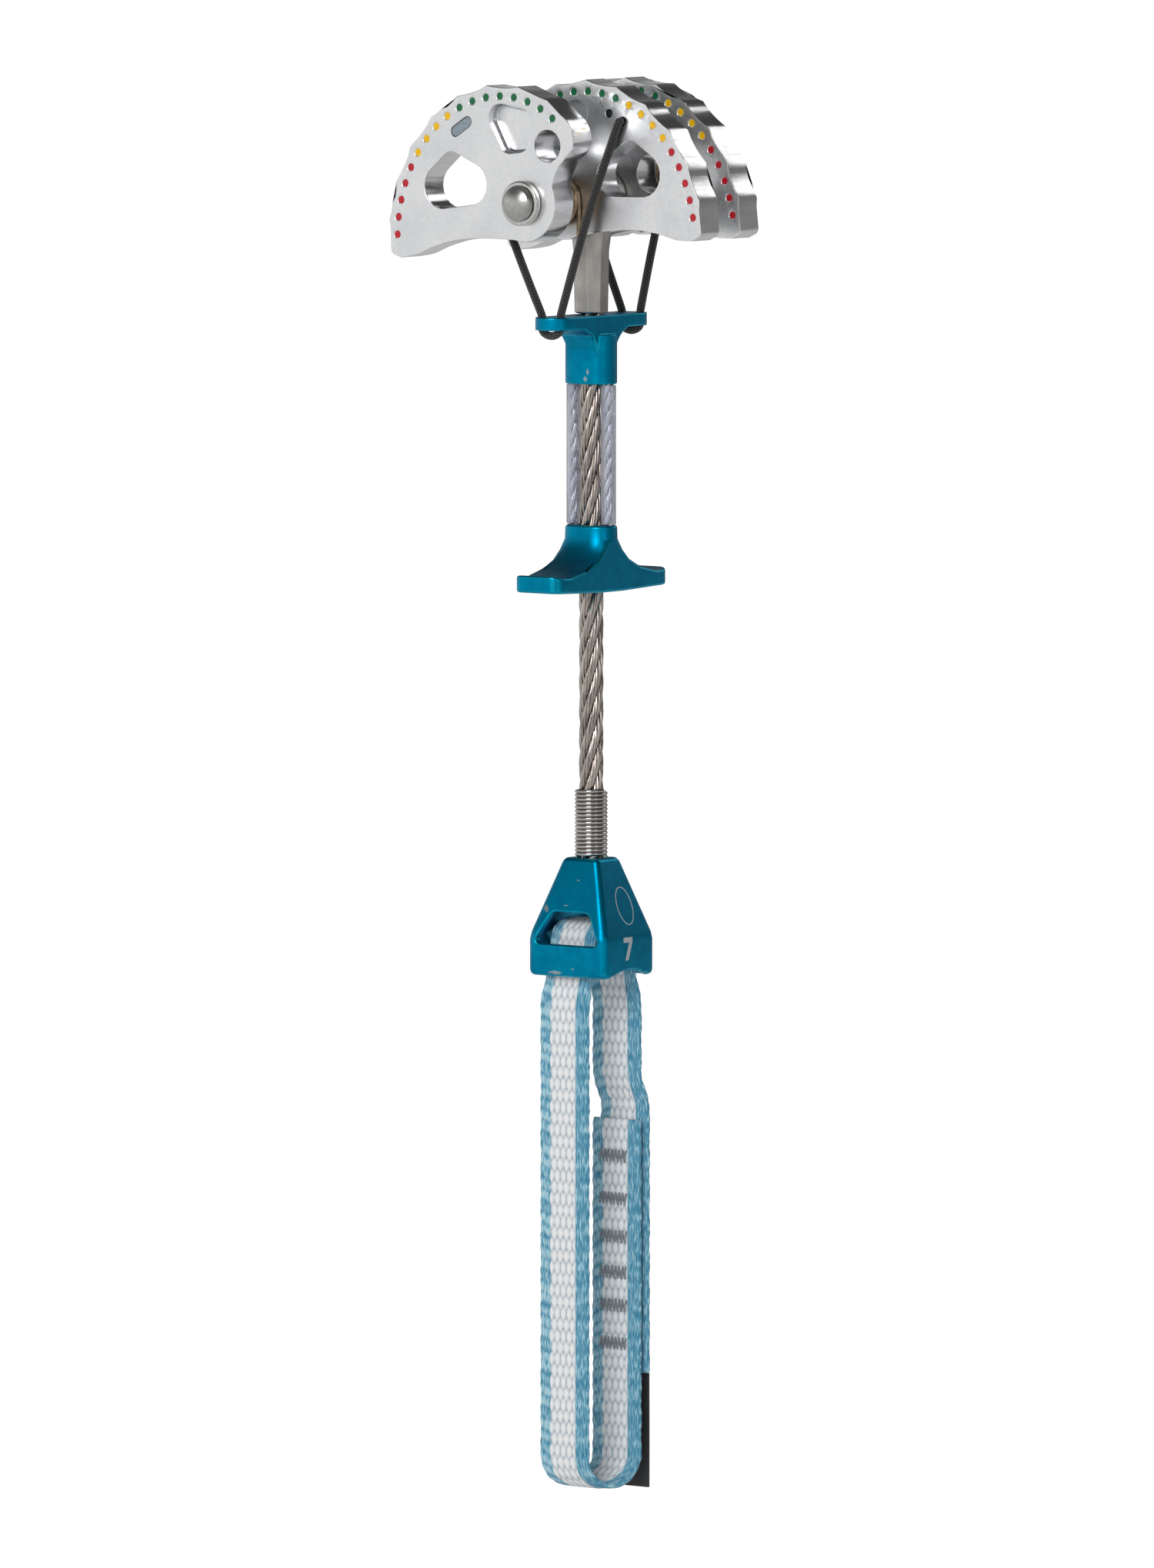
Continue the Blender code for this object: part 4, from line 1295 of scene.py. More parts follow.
@dataclass
class WireRope:
    """A rope of strands laid round each other, each strand of several round wires."""

    name: str
    node: str
    body: str
    slot: str
    radius: float
    strands: int
    wires_per_strand: int
    pitch: float
    strand_pitch: float
    step: float = 0.7 * MM

    def sizes(self) -> tuple[float, float, float]:
        """The strand's orbit, the wire's orbit in its strand and the wire's radius."""
        sine = math.sin(math.pi / self.strands)
        strand = self.radius * sine / (1 + sine)
        if self.wires_per_strand == 1:
            return self.radius - strand, 0.0, strand
        share = math.sin(math.pi / self.wires_per_strand)
        wire = strand * share / (1 + share)
        return self.radius - strand, strand - wire, wire

    def routes(self, low: Vector, high: Vector) -> list[list[Point]]:
        """Every wire's middle line.

        Args:
            low: The lowest corner of the rope's box.
            high: Its highest corner.

        Returns:
            One list of points for each wire.
        """
        orbit, small, _ = self.sizes()
        middle = ((low.x + high.x) / 2, (low.y + high.y) / 2)
        count = max(8, round((high.z - low.z) / self.step))
        heights = np.linspace(low.z, high.z, count)
        lean = math.atan(2 * math.pi * orbit / self.pitch)
        made = []
        for strand in range(self.strands):
            turn = 2 * math.pi * (heights / self.pitch + strand / self.strands)
            out = np.stack([np.cos(turn), np.sin(turn), 0 * turn], 1)
            side = np.stack([-np.sin(turn) * math.cos(lean), np.cos(turn) * math.cos(lean),
                             -math.sin(lean) + 0 * turn], 1)
            centre = out * orbit + np.stack(
                [0 * turn + middle[0], 0 * turn + middle[1], heights], 1
            )
            for wire in range(self.wires_per_strand):
                first = 2 * math.pi * wire / self.wires_per_strand
                spin = -2 * math.pi * (heights / self.strand_pitch) + first
                path = centre + small * (np.cos(spin)[:, None] * out + np.sin(spin)[:, None] * side)
                path[:, 2] = np.clip(path[:, 2], low.z, high.z)
                made.append([tuple(p) for p in path])
        return made

    def build(self, looks: Finishes, finish: object) -> bpy.types.Object:
        """Builds the rope with a dark core, painted shade between the strands, and hands it over.

        Args:
            looks: The finishes.
            finish: The wires' finish.

        Returns:
            The rope.
        """
        low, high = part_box(self.node)
        orbit, _, radius = self.sizes()
        rope = wires(self.name, self.routes(low, high), radius * 1.04, 1)
        rope.data.materials.clear()
        rope.data.materials.append(finish)
        let_go()
        # The dark core stands for the shade between the strands
        centre = (low + high) / 2
        bpy.ops.mesh.primitive_cylinder_add(
            vertices=12, radius=orbit, depth=high.z - low.z - 0.4 * MM, location=centre,
            end_fill_type="NGON"
        )
        core = take_up(bpy.context.object)
        start_edit()
        pick_faces(core, lambda face: abs(face.normal.z) > 0.9)
        bpy.ops.mesh.inset(thickness=orbit * 0.4, depth=-0.1 * MM)
        end_edit()
        settle(core)
        core.data.materials.append(looks.core)
        whole = joined(self.name, [rope, core])
        return hand_over(whole, self.body, [self.node])


@dataclass
class CoilSleeve:
    """The close-wound coil that stiffens the cable where it enters the block."""

    wire: float = 0.35 * MM
    reach: float = 2.72 * MM
    turns: int = 17
    steps: int = 40
    sunk: float = 0.4 * MM

    def build(self, looks: Finishes) -> None:
        """Winds the coil from a ring section with the screw tool."""
        low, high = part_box("coil_sleeve")
        rise = high.z - low.z - 2 * self.wire + self.sunk
        let_go()
        bpy.ops.mesh.primitive_circle_add(
            vertices=14, radius=self.wire, location=(self.reach, 0.0, 0.0),
            rotation=(math.pi / 2, 0.0, 0.0)
        )
        piece = bpy.context.object
        piece.name = "wound_coil"
        settle(piece)
        apply_tool(
            piece, "SCREW", angle=2 * math.pi * self.turns, screw_offset=rise, iterations=1,
            steps=self.steps * self.turns, render_steps=self.steps * self.turns, axis="Z",
            use_merge_vertices=False,
        )
        start_edit("EDGE")
        bpy.ops.mesh.select_all(action="SELECT")
        bpy.ops.mesh.remove_doubles(threshold=0.000001)
        bpy.ops.mesh.select_all(action="DESELECT")
        bpy.ops.mesh.select_non_manifold()
        bpy.ops.mesh.fill_holes(sides=0)
        end_edit(outward=True)
        piece.data.transform(Matrix.Translation((0.0, 0.0, low.z + self.wire - self.sunk)))
        smooth(piece, 60)
        hand_over(piece, "stem", ["coil_sleeve"], looks.coil)


@dataclass
class Stem:
    """The cable, its coil sleeve, and the hidden stop inside the block."""

    rope: WireRope = field(default_factory=lambda: WireRope(
        "stem_rope", "stem_cable", "stem", "cable_steel", 2.3 * MM, 6, 6, 31.0 * MM, 11.0 * MM))

    def build(self, nodes: dict[str, bpy.types.Object], looks: Finishes) -> None:
        """Builds the stem."""
        self.rope.build(looks, looks.rope)
        CoilSleeve().build(looks)
        for node, name in (("cable_stop", "swaged_stop"), ("crossbar", "sling_pin")):
            MachinedPart(
                node, name, "stem", "bright_steel", 0.25 * MM
            ).build(nodes, looks.washer, looks.washer)


# ---------------------------------------------------------------- trigger


@dataclass
class LinkTube:
    """One clear tube with the twisted wire inside it, between the trigger's two bars."""

    side: str
    wall: float = 0.42 * MM

    def build(self, looks: Finishes) -> None:
        """Builds the tube and its wire."""
        node = f"clear_tube_{self.side}"
        low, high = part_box(node)
        radius = (high.x - low.x) / 2
        let_go()
        bpy.ops.mesh.primitive_cylinder_add(
            vertices=40, radius=radius, depth=high.z - low.z, location=(low + high) / 2,
            end_fill_type="NGON"
        )
        piece = bpy.context.object
        piece.name = f"sleeve_tube_{self.side}"
        start_edit()
        pick_faces(piece, lambda face: abs(face.normal.z) > 0.9)
        bpy.ops.mesh.inset(thickness=self.wall)
        bpy.ops.mesh.bridge_edge_loops()
        end_edit()
        settle(piece)
        apply_tool(
            piece, "BEVEL", width=0.08 * MM, segments=2, limit_method="ANGLE",
            angle_limit=math.radians(50)
        )
        smooth(piece, 50)
        hand_over(piece, "trigger", [node], looks.tube)
        link = WireRope(
            f"link_wire_{self.side}", f"trigger_wire_{self.side}", "trigger", "cable_steel",
            0.92 * MM, 3, 4, 9.0 * MM, 5.0 * MM, 0.5 * MM
        )
        link.build(looks, looks.link_wire)


@dataclass
class CordRun:
    """A length of braided cord along a route."""

    name: str
    node: str
    body: str
    route: list[Point]
    radius: float = 0.77 * MM
    sides: int = 14
    step: float = 0.35 * MM

    def spaced(self) -> np.ndarray:
        """The route as evenly spaced points on a smooth curve."""
        points = np.array(self.route)
        ends = np.vstack([2 * points[0] - points[1], points, 2 * points[-1] - points[-2]])
        fine = []
        for i in range(1, len(ends) - 2):
            a, b, c, d = ends[i - 1:i + 3]
            for t in np.linspace(0, 1, 12, endpoint=False):
                fine.append(0.5 * (2 * b + (c - a) * t + (2 * a - 5 * b + 4 * c - d) * t ** 2
                                   + (3 * b - a - 3 * c + d) * t ** 3))
        fine.append(ends[-2])
        fine = np.array(fine)
        length = np.concatenate([[0], np.cumsum(np.linalg.norm(np.diff(fine, axis=0), axis=1))])
        places = np.linspace(0, length[-1], max(6, round(length[-1] / self.step)))
        return np.stack([np.interp(places, length, fine[:, k]) for k in range(3)], 1)

    def build(self, looks: Finishes) -> None:
        """Sweeps the cord, with its distance round and along kept for the braid."""
        path = self.spaced()
        ahead = np.gradient(path, axis=0)
        ahead /= np.linalg.norm(ahead, axis=1)[:, None]
        out = np.cross(ahead, (0.0, 1.0, 0.0))
        out /= np.linalg.norm(out, axis=1)[:, None]
        side = np.cross(ahead, out)
        points, around, along = [], [], []
        length = np.concatenate([[0], np.cumsum(np.linalg.norm(np.diff(path, axis=0), axis=1))])
        last = len(path) - 1
        for i, centre in enumerate(path):
            shrink = 0.55 if i in (0, last) else 0.9 if i in (1, last - 1) else 1.0
            for k in range(self.sides + 1):
                turn = 2 * math.pi * k / self.sides
                if k < self.sides:
                    spoke = math.cos(turn) * out[i] + math.sin(turn) * side[i]
                    points.append(centre + self.radius * shrink * spoke)
                    around.append(k / self.sides)
                    along.append(length[i] / (0.62 * MM))
        faces = []
        n = self.sides
        for i in range(last):
            for k in range(n):
                j = (k + 1) % n
                faces.append((i * n + k, i * n + j, (i + 1) * n + j, (i + 1) * n + k))
        faces.append(tuple(range(n - 1, -1, -1)))
        faces.append(tuple(range(last * n, (last + 1) * n)))
        piece = new_mesh_piece(self.name, points, faces)
        start_edit()
        end_edit(outward=True)
        corner_round = piece.data.attributes.new("around", "FLOAT", "CORNER")
        corner_along = piece.data.attributes.new("along", "FLOAT", "CORNER")
        for polygon in piece.data.polygons:
            numbers = [piece.data.loops[c].vertex_index for c in polygon.loop_indices]
            values = [around[v] for v in numbers]
            wraps = max(values) - min(values) > 0.5
            for c, v, value in zip(polygon.loop_indices, numbers, values):
                corner_round.data[c].value = value + 1.0 if wraps and value < 0.5 else value
                corner_along.data[c].value = along[v]
        smooth(piece, 80)
        hand_over(piece, self.body, [self.node], looks.cord)


@dataclass
class TriggerCords:
    """The cords from the upper bar to the lobes: a leg to each lobe, a bight under each end."""

    hole: tuple[float, float] = (-15.9 * MM, 12.9 * MM)
    lead: float = math.radians(8.4)
    bow: float = 0.55 * MM
    tuck: float = 1.05 * MM
    in_eye: float = 0.9 * MM
    beside: float = 0.95 * MM
    turn_in: tuple[float, float] = (0.5 * MM, 0.35 * MM)

    def leg(self, row: str, pair: str, joint: dict, looks: Finishes) -> None:
        """Builds one leg.

        Args:
            row: front or back.
            pair: outer or inner.
            joint: The hinge at the leg's lower end.
            looks: The finishes.
        """
        node = f"cord_leg_{row}_{pair}"
        start = Vector(joint["pos_m"])
        side = -1 if pair == "outer" else 1
        top = Vector((-side * self.hole[0], 0.0, self.hole[1]))
        if pair == "inner":
            top.rotate(Matrix.Rotation(-self.lead, 3, "Y"))
        lobe_low, lobe_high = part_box(f"lobe_{row}_{pair}")
        outward = -1.0 if row == "front" else 1.0
        pick, into = (max, -outward) if pair == "inner" else (min, outward)
        face = outward * pick(abs(lobe_low.y), abs(lobe_high.y))
        top.y = face - into * self.beside
        route = [tuple(start - Vector((0.0, 0.0, self.in_eye)))]
        lean = (top - start).normalized()
        sideways = lean.cross(Vector((0.0, 1.0, 0.0))).normalized()
        for i in range(9):
            share = i / 8
            point = start.lerp(top - lean * self.turn_in[0], share)
            route.append(tuple(point + sideways * (self.bow * math.sin(math.pi * share))))
        for depth in (self.turn_in[1], self.tuck):
            route.append(tuple(top + Vector((0.0, into * depth, 0.0))))
        CordRun(f"braid_leg_{row}_{pair}", node, f"{row}_{pair}_cord", route).build(looks)

    def bight(self, row: str, looks: Finishes) -> None:
        """Builds the bight under one end of the bar.

        Args:
            row: front or back.
            looks: The finishes.
        """
        node = f"cord_loop_{row}"
        low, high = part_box(node)
        radius = 0.77 * MM
        half = (high.x - low.x) / 2 - radius
        middle = (low.y + high.y) / 2
        bottom = low.z + radius
        deep = 1.55 * MM
        top = high.z - self.in_eye - radius
        route = [(-half, middle, top), (-half, middle, (top + bottom + deep) / 2)]
        for i in range(9):
            turn = math.pi + math.pi * i / 8
            route.append((half * math.cos(turn), middle, bottom + deep + deep * math.sin(turn)))
        route += [(half, middle, (top + bottom + deep) / 2), (half, middle, top)]
        CordRun(f"braid_bight_{row}", node, "trigger", route, 0.75 * MM).build(looks)

    def build(self, record: dict, looks: Finishes) -> None:
        """Builds every leg and bight.

        Args:
            record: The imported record.
            looks: The finishes.
        """
        joints = {joint["name"]: joint for joint in record["behaviour"]["joints"]}
        for row in ("front", "back"):
            for pair in ("outer", "inner"):
                self.leg(row, pair, joints[f"{row}_{pair}_cord_turn"], looks)
            self.bight(row, looks)


@dataclass
class Trigger:
    """The two anodised bars that slide on the stem, with their links and cords."""

    bars: tuple[tuple[str, str, float], ...] = (
        ("trigger_upper_bar", "cord_bar", 0.32 * MM), ("trigger_lower_bar", "finger_bar", 0.5 * MM))

    def build(self, nodes: dict[str, bpy.types.Object], record: dict, looks: Finishes) -> None:
        """Builds the trigger."""
        for node, name, chamfer in self.bars:
            part = MachinedPart(node, name, "trigger", "teal_anodised", chamfer, 4, 30.0)
            part.build(nodes, looks.trigger, looks.teal_rim)
        for side in ("left", "right"):
            LinkTube(side).build(looks)
        TriggerCords().build(record, looks)


# ---------------------------------------------------------------- block


@dataclass
class TerminalBlock:
    """The anodised block that joins the stem to the sling, with its printed size mark."""

    chamfer: float = 0.45 * MM
    shoulder: float = -136.8 * MM
    narrow: float = 4.0 * MM
    mark_height: float = 4.3 * MM
    mark_width: float = 2.7 * MM
    mark_middle: tuple[float, float] = (-0.6 * MM, -138.9 * MM)
    ring_middle: tuple[float, float] = (0.9 * MM, -131.1 * MM)
    ring_half: tuple[float, float] = (2.35 * MM, 3.7 * MM)
    ring_line: float = 0.2 * MM
    proud: float = 0.02 * MM

    def numeral(self, side: float) -> bpy.types.Object:
        """The block's size number, printed on its flat side.

        Args:
            side: The X of the flat side.

        Returns:
            The printed number.
        """
        shape = [
            (-0.5, 0.5), (0.5, 0.5), (0.5, 0.28), (0.06, -0.5), (-0.3, -0.5), (0.12, 0.27),
            (-0.5, 0.27)
        ]
        points = [(side - self.proud, self.mark_middle[0] + a * self.mark_width,
                   self.mark_middle[1] + b * self.mark_height) for a, b in shape]
        piece = new_mesh_piece("size_mark", points, [range(len(points) - 1, -1, -1)])
        start_edit()
        bpy.ops.mesh.select_all(action="SELECT")
        bpy.ops.mesh.extrude_region_move(
            TRANSFORM_OT_translate={"value": (2 * self.proud, 0.0, 0.0)}
        )
        end_edit(outward=True)
        return piece

    def oval(self, surface: Callable[[float], float], tilt: float) -> bpy.types.Object:
        """The plain printed oval on the block's sloping side.

        Args:
            surface: The sloping side's X at a height.
            tilt: The side's lean from upright.

        Returns:
            The printed oval.
        """
        let_go()
        bpy.ops.mesh.primitive_circle_add(vertices=72, radius=1.0, fill_type="NGON")
        piece = bpy.context.object
        piece.name = "oval_mark"
        piece.scale = (*self.ring_half, 1.0)
        settle(piece)
        start_edit()
        bpy.ops.mesh.select_all(action="SELECT")
        bpy.ops.mesh.inset(thickness=self.ring_line)
        bpy.ops.mesh.delete(type="FACE")
        bpy.ops.mesh.select_all(action="SELECT")
        bpy.ops.mesh.extrude_region_move(
            TRANSFORM_OT_translate={"value": (0.0, 0.0, 2 * self.proud)}
        )
        end_edit(outward=True)
        turn = Matrix(((0.0, 0.0, 1.0), (1.0, 0.0, 0.0), (0.0, 1.0, 0.0))).to_4x4()
        lean = Matrix.Rotation(-tilt, 4, "Y")
        place = Matrix.Translation((surface(self.ring_middle[1]) - self.proud, *self.ring_middle))
        piece.data.transform(place @ lean @ turn)
        return piece

    def build(self, nodes: dict[str, bpy.types.Object], looks: Finishes) -> None:
        """Builds the block and its marks."""
        _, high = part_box("terminal_block")
        part = MachinedPart(
            "terminal_block", "sling_block", "stem", "teal_anodised", self.chamfer, 4, 34.0
        )
        part.build(nodes, looks.block, looks.teal_rim)
        slope = (high.x - self.narrow) / (high.z - self.shoulder)

        def surface(z: float) -> float:
            """The sloping side's X at a height."""
            return self.narrow + (high.z - z) * slope

        marks = [self.numeral(high.x), self.oval(surface, math.atan(slope))]
        for mark in marks:
            hand_over(mark, "stem", (), looks.print)


# ---------------------------------------------------------------- sling


@dataclass
class Sling:
    """The sewn loop of woven tape: an open strip that overlaps itself down the back."""

    half_width: float = 5.5 * MM
    thick: float = 1.6 * MM
    gap: float = 0.3 * MM
    bottom: float = -240.4 * MM
    half_gap: float = 5.5 * MM
    skew: float = 0.35
    inner_end: float = -171.5 * MM
    outer_end: float = -219.0 * MM
    middle: float = 2.9 * MM
    row: float = 2.14 * MM
    column: float = 1.4 * MM
    pitch: float = 0.3 * MM
    columns: int = 50
    mouth: float = -147.5 * MM
    squeeze: tuple[float, float] = (0.05, 0.2)
    knot: float = 0.36 * MM
    tacks: tuple[float, ...] = (-178.4, -186.4, -193.5, -200.2, -206.4, -213.5)

    def pin_height(self) -> float:
        """The height of the pin that the sling hangs from."""
        low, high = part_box("crossbar")
        return (low.z + high.z) / 2

    def side(self, z: float, offset: float = 0.0) -> float:
        """How far a layer's middle lies from the stem's axis at a height.

        Args:
            z: The height.
            offset: How far the layer has moved out.

        Returns:
            The distance in metres.
        """
        low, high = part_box("crossbar")
        top = (high.z - low.z) / 2 + self.gap + self.thick / 2
        share = min(1.0, max(0.0, (self.pin_height() - z) / 12 / MM))
        return top + (self.half_gap - top) * share + offset

    def step_out(self, z: float) -> float:
        """How far the outer layer has moved out to pass over the inner layer's end."""
        share = min(1.0, max(0.0, (self.inner_end + 9 * MM - z) / 7 / MM))
        return (self.thick + self.gap / 2) * share * share * (3 - 2 * share)

    def line(self) -> np.ndarray:
        """The strip's middle line in YZ, evenly spaced, from its outer end to its inner end."""
        pin = self.pin_height()
        turn = self.bottom + self.thick / 2 + self.half_gap
        route = [(self.side(z, self.step_out(z)), z) for z in np.linspace(self.outer_end, pin, 120)]
        reach = self.side(pin)
        for angle in np.linspace(0, math.pi, 40)[1:]:
            route.append((reach * math.cos(angle), pin + reach * math.sin(angle)))
        route += [(-self.side(z), z) for z in np.linspace(pin, turn, 120)[1:]]
        for angle in np.linspace(math.pi, 2 * math.pi, 60)[1:]:
            route.append((self.half_gap * math.cos(angle), turn + self.half_gap * math.sin(angle)))
        route += [(self.side(z), z) for z in np.linspace(turn, self.inner_end, 80)[1:]]
        route = np.array(route)
        length = np.concatenate([[0], np.cumsum(np.linalg.norm(np.diff(route, axis=0), axis=1))])
        places = np.linspace(0, length[-1], round(length[-1] / self.pitch))
        return np.stack([np.interp(places, length, route[:, k]) for k in (0, 1)], 1)

    def weave(self, across: np.ndarray, along: np.ndarray) -> np.ndarray:
        """How high the yarns stand, from 0 in a gap to 1 on a knot.

        Args:
            across: Distance across the tape from its middle.
            along: Distance along it.

        Returns:
            The lift of each point.
        """
        best = np.zeros_like(across)
        base = np.floor(along / self.row)
        for shift in (-1, 0, 1):
            row = base + shift
            offset = (row % 2) * self.column / 2
            column = np.round((across - offset) / self.column)
            dx = (across - offset - column * self.column) / (0.50 * self.column)
            dz = (along - (row + 0.5) * self.row) / (0.62 * self.row)
            taper = 1.0 - 0.4 * np.clip(dz, 0, 1)
            best = np.maximum(best, np.sqrt(np.clip(1 - (dx / taper) ** 2 - dz ** 2, 0, 1)))
        wave = np.sin(2 * math.pi * along / (3 * self.row))
        swayed = across + RIB_SWAY * MM * np.sin(math.pi * along / self.row)
        rib = np.sin(2 * math.pi * swayed / (RIB_PITCH * MM))
        beads = np.abs(
            np.sin(math.pi * along / self.row + 0.6 * (np.abs(across) - self.middle) / MM)
        ) ** 0.6
        ribbed = 0.45 + 0.12 * wave + 0.1 * np.sin(2 * math.pi * along / self.row) + 0.22 * rib
        lumps = np.where(across < 0, 0.15 + 0.8 * beads, ribbed)
        outer = np.clip((np.abs(across) - self.middle) / (0.15 * MM), 0, 1)
        return best * (1 - outer) + lumps * outer

    def tape(self) -> bpy.types.Object:
        """The woven strip."""
        path = self.line()
        ahead = np.gradient(path, axis=0)
        ahead /= np.linalg.norm(ahead, axis=1)[:, None]
        rows = len(path)
        along = np.arange(rows) * self.pitch
        share = np.linspace(-1, 1, self.columns)
        share = np.sign(share) * (1 - (1 - np.abs(share)) ** 1.25)
        loop = np.concatenate([share, share[::-1]])
        face = np.concatenate([np.ones(self.columns), -np.ones(self.columns)])
        wave = np.sin(2 * math.pi * along / (3 * self.row))
        width = self.half_width + 0.07 * MM * wave + 0.06 * MM * np.sin(
            2 * math.pi * along / self.row
        )
        squeezed = np.clip((path[:, 1] - self.mouth) / (2 * MM), 0, 1)
        width = width * (1 - self.squeeze[0] * squeezed)
        across = loop[None, :] * width[:, None]
        lift = self.weave(across, along[:, None] + (face[None, :] < 0) * self.row / 2)
        closing = np.clip(np.minimum(along, along[-1] - along) / (0.7 * MM), 0.12, 1) ** 0.5
        body = (self.thick / 2 - self.knot) * (1 - np.abs(loop) ** 8 * 0.55)[None, :]
        edge = np.clip((1 - np.abs(loop)) / 0.03, 0, 1)[None, :]
        thinned = (closing * (1 - self.squeeze[1] * squeezed))[:, None]
        height = (body + self.knot * lift * edge) * thinned * face[None, :]
        x = across + self.skew * path[:, 0][:, None]
        y = path[:, 0][:, None] - height * ahead[:, 1][:, None]
        z = path[:, 1][:, None] + height * ahead[:, 0][:, None]
        points = np.stack([x, y, z], 2).reshape(-1, 3)
        n = len(loop)
        faces = []
        for i in range(rows - 1):
            for k in range(n):
                j = (k + 1) % n
                faces.append((i * n + k, i * n + j, (i + 1) * n + j, (i + 1) * n + k))
        faces.append(tuple(range(n - 1, -1, -1)))
        faces.append(tuple((rows - 1) * n + k for k in range(n)))
        piece = new_mesh_piece("woven_sling", points, faces)
        # lift is the yarn height; the tape's finish also paints shade and highlight from it
        for label, values in (
            ("across", across / MM), ("along", np.repeat(along[:, None], n, 1) / MM), ("lift", lift)
        ):
            kept = piece.data.attributes.new(label, "FLOAT", "POINT")
            kept.data.foreach_set("value", values.reshape(-1).astype(np.float32))
        take_up(piece)
        start_edit()
        end_edit(outward=True)
        smooth(piece, 80)
        return piece

    def tack_routes(self, y: float, outward: float) -> list[list[Point]]:
        """The zigzag stitches of every bar tack on one face.

        Args:
            y: The face that they lie on.
            outward: Which way the face looks along Y.

        Returns:
            One route for each tack.
        """
        routes = []
        half = self.middle + 0.15 * MM
        for z in self.tacks:
            route = []
            strokes = 15
            for i in range(strokes + 1):
                x = self.skew * y - half + 2 * half * i / strokes
                rise = 1.1 * MM * (1 if i % 2 else -1)
                for step in (-0.5, 0.5):
                    route.append((x, y + outward * 0.16 * MM, z * MM + rise + step * 0.02 * MM))
                route.append((x + half / strokes, y + outward * 0.3 * MM, z * MM))
            routes.append(route[:-1])
        return routes

    def label(self, looks: Finishes) -> None:
        """The folded label behind the back strand, with its sewn border."""
        node = "label_tag"
        low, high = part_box(node)
        middle_y = (low.y + high.y) / 2
        half = (high.x - low.x) / 2 - self.skew * (high.y - low.y) / 2
        centre = (low.x + high.x) / 2
        let_go()
        bpy.ops.mesh.primitive_cube_add(size=1.0, location=(centre, middle_y, (low.z + high.z) / 2))
        piece = bpy.context.object
        piece.name = "folded_label"
        piece.scale = (2 * half, (high.y - low.y) * 0.8, high.z - low.z)
        settle(piece)
        start_edit("EDGE")
        bpy.ops.mesh.select_all(action="SELECT")
        bpy.ops.mesh.subdivide(number_cuts=14)
        end_edit()
        for point in piece.data.vertices:
            wave = math.sin((point.co.z - low.z) / (5.5 * MM)) * 0.06 * MM
            point.co.y += wave * math.cos((point.co.x - centre) / half)
        apply_tool(
            piece, "BEVEL", width=0.12 * MM, segments=2, limit_method="ANGLE",
            angle_limit=math.radians(50)
        )
        smooth(piece, 60)
        hand_over(piece, "sling", [node], looks.label)
        y = high.y - 0.02 * MM
        stitches = []
        inset = 0.7 * MM
        for x in (centre - half + inset, centre + half - inset):
            for z in np.arange(low.z + inset, high.z - inset, 1.3 * MM):
                stitches.append([(x, y, z), (
                    x, y + 0.12 * MM, z + 0.25 * MM
                ), (x, y + 0.12 * MM, z + 0.7 * MM),
                                 (x, y, z + 0.95 * MM)])
        seam = wires("label_stitches", stitches, 0.11 * MM, 1)
        hand_over(seam, "sling", (), looks.thread)

    def build(self, looks: Finishes) -> None:
        """Builds the sling."""
        hand_over(self.tape(), "sling", ["sling_webbing"], looks.webbing)
        inner = self.half_gap - self.thick / 2
        outer = self.half_gap + self.thick / 2 + self.thick + self.gap / 2
        routes = self.tack_routes(inner, -1.0) + self.tack_routes(outer, 1.0)
        tacks = wires("bar_tacks", routes, 0.15 * MM, 1)
        hand_over(tacks, "sling", (), looks.tack)
        self.label(looks)


# ---------------------------------------------------------------- studio


@dataclass
class Softbox:
    """One square softbox."""

    name: str
    place: Point
    size: float
    glow: float


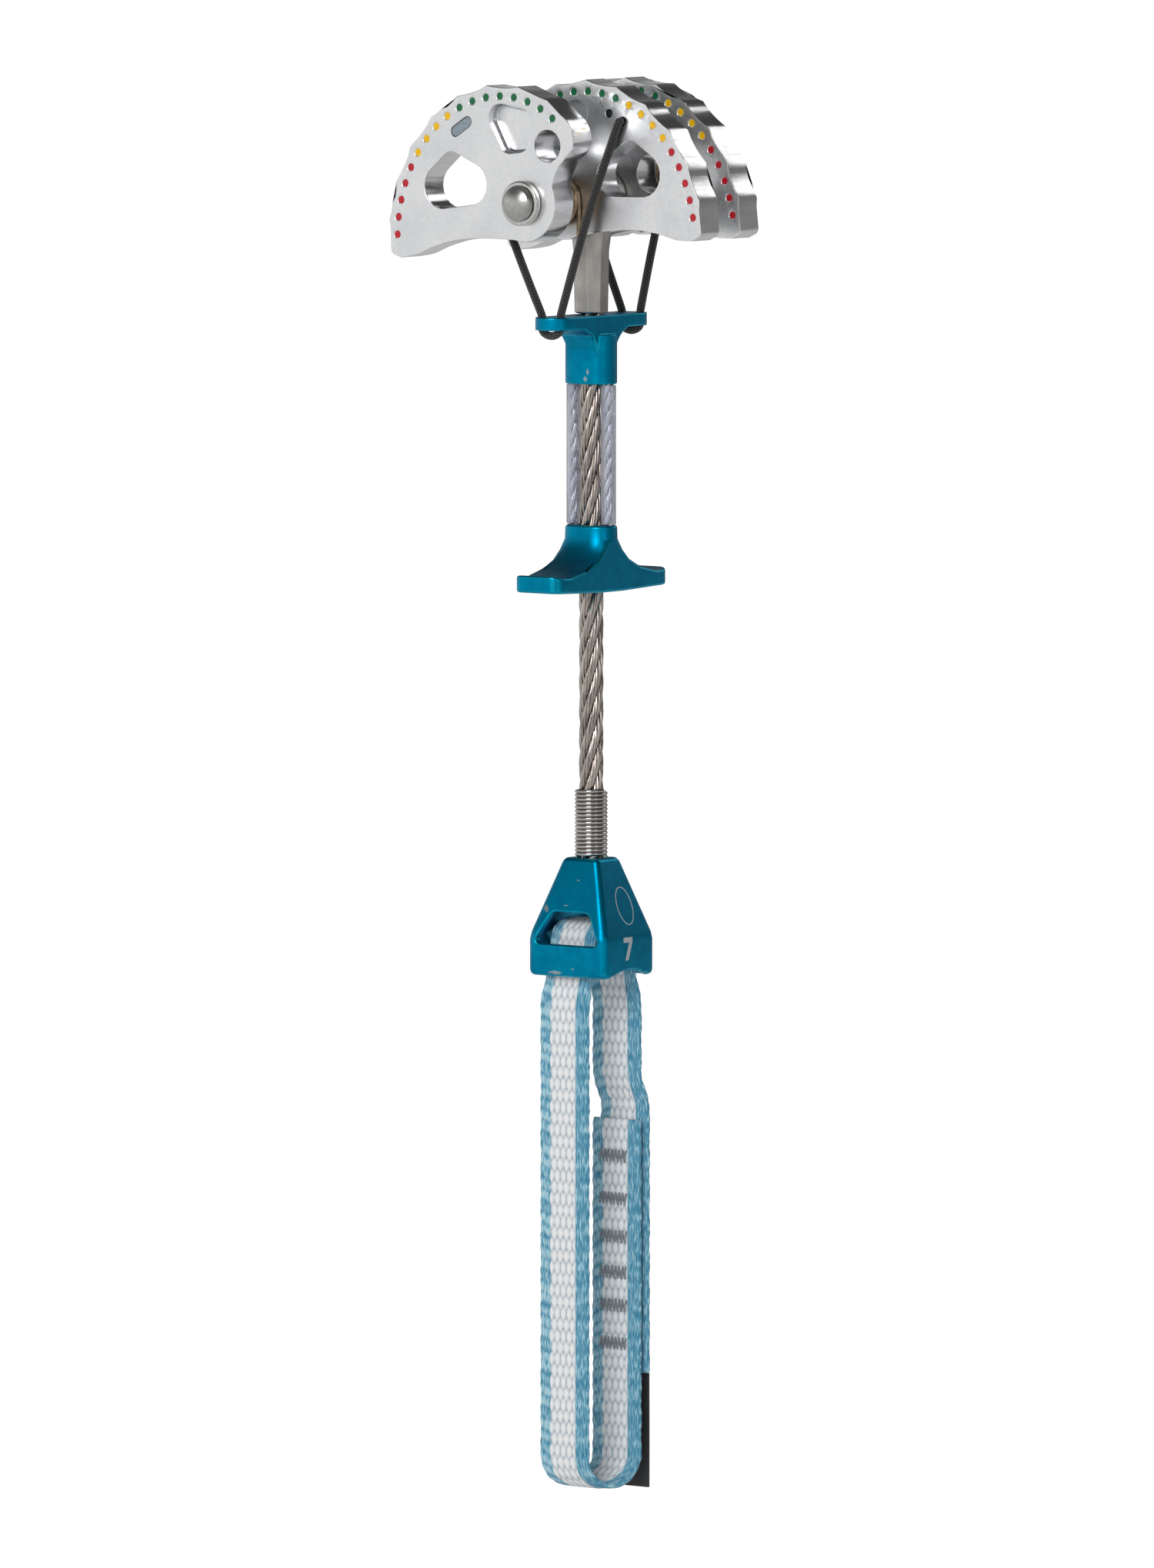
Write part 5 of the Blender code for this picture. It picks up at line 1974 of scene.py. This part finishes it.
@dataclass
class Studio:
    """The floor, the soft light and the camera."""

    distance: float = 3.0
    azimuth: float = 37.0
    elevation: float = 4.8
    target: Point = (-2.1 * MM, -1.6 * MM, -108.7 * MM)
    view_height: float = 291.3 * MM
    film: float = 36.0
    floor_height: float = -0.3
    floor_radius: float = 40.0
    floor_glow: tuple[float, float] = (0.2, 0.66)
    bright_side: Point = (-0.6, -0.8, 0.0)
    boxes: tuple[Softbox, ...] = (
        Softbox("key_box", (0.7, -2.7, 1.5), 1.6, 5.4),
        Softbox("edge_box", (2.6, -0.9, 0.6), 0.9, 1.6),
        Softbox("rear_box", (0.8, 2.4, 1.4), 1.2, 1.5),
    )

    def floor(self) -> None:
        """Lays the plain pale floor."""
        let_go()
        bpy.ops.mesh.primitive_circle_add(
            vertices=96, radius=self.floor_radius, fill_type="NGON",
            location=(0.0, 0.0, self.floor_height)
        )
        floor = bpy.context.object
        floor.name = "studio_floor"
        settle(floor)
        shade = Shade("pale_floor")
        shade.fixed(Roughness=0.9, Specular_IOR_Level=0.1, Emission_Color=(1.0, 1.0, 1.0, 1.0))
        graph = shade.graph
        shade.paint(graph.blend(shade.mottle(3.0), (0.30, 0.30, 0.30), (0.29, 0.29, 0.29)))
        # Painted light: the floor glows brighter toward the bright side for everything but the camera,
        # which sees it evenly white
        toward = graph.add(
            "ShaderNodeVectorMath", {0: shade.place, 1: self.bright_side}, operation="DOT_PRODUCT"
        )
        glow = graph.spread(toward.outputs["Value"], -2.5, 2.5, *self.floor_glow)
        seen = graph.add("ShaderNodeLightPath").outputs["Is Camera Ray"]
        graph.feed(shade.shader, "Emission Strength", graph.maths("MAXIMUM", glow, seen))
        floor.data.materials.append(shade.material)

    def lights(self) -> None:
        """Hangs the softboxes and sets the room's own light."""
        target = Vector(self.target)
        for box in self.boxes:
            lamp = bpy.data.lights.new(box.name, "AREA")
            lamp.size = box.size
            lamp.energy = box.glow * math.pi * box.size ** 2
            hung = bpy.data.objects.new(box.name, lamp)
            hung.location = box.place
            hung.rotation_euler = (target - Vector(box.place)).to_track_quat("-Z", "Y").to_euler()
            bpy.context.scene.collection.objects.link(hung)
        world = bpy.data.worlds.new("pale_room")
        world.use_nodes = True
        graph = Graph(world.node_tree)
        back = world.node_tree.nodes["Background"]
        seen = graph.add("ShaderNodeLightPath").outputs["Is Camera Ray"]
        aim = graph.add("ShaderNodeTexCoord").outputs["Generated"]
        height = graph.add("ShaderNodeSeparateXYZ", {0: aim}).outputs[2]
        toward = graph.add(
            "ShaderNodeVectorMath", {0: aim, 1: self.bright_side}, operation="DOT_PRODUCT"
        )
        side = graph.spread(toward.outputs["Value"], -0.9, 0.8, 0.24, 0.92)
        wall = graph.maths("MULTIPLY", side, graph.spread(height, 0.08, 0.5, 1.0, 0.13))
        grey = graph.add("ShaderNodeCombineColor", {0: wall, 1: wall, 2: wall}).outputs[0]
        graph.feed(back, "Color", graph.blend(seen, grey, (1.0, 1.0, 1.0)))
        bpy.context.scene.world = world
        bpy.context.scene.view_settings.view_transform = "Standard"

    def camera(self) -> None:
        """Sets up the camera."""
        lens = bpy.data.cameras.new("product_camera")
        lens.sensor_fit = "VERTICAL"
        lens.sensor_height = self.film
        lens.lens = self.film * self.distance / self.view_height
        lens.clip_end = 120.0
        held = bpy.data.objects.new("product_camera", lens)
        around, up = math.radians(self.azimuth), math.radians(self.elevation)
        away = Vector(
            (math.sin(around) * math.cos(up), -math.cos(around) * math.cos(up), math.sin(up))
        )
        held.location = Vector(self.target) + away * self.distance
        held.rotation_euler = (-away).to_track_quat("-Z", "Y").to_euler()
        bpy.context.scene.collection.objects.link(held)
        bpy.context.scene.camera = held

    def build(self) -> None:
        """Builds the studio."""
        self.camera()
        self.floor()
        self.lights()


# ---------------------------------------------------------------- assembly


def main() -> None:
    """Builds the device and its studio."""
    logging.basicConfig(level=logging.INFO, format="%(message)s", stream=sys.stdout)
    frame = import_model()
    nodes, record = frame["nodes"], frame["record"]
    let_go()
    Studio().build()
    looks = Finishes()
    Head().build(nodes, looks)
    Stem().build(nodes, looks)
    Trigger().build(nodes, record, looks)
    TerminalBlock().build(nodes, looks)
    Sling().build(looks)


if __name__ == "__main__":
    main()
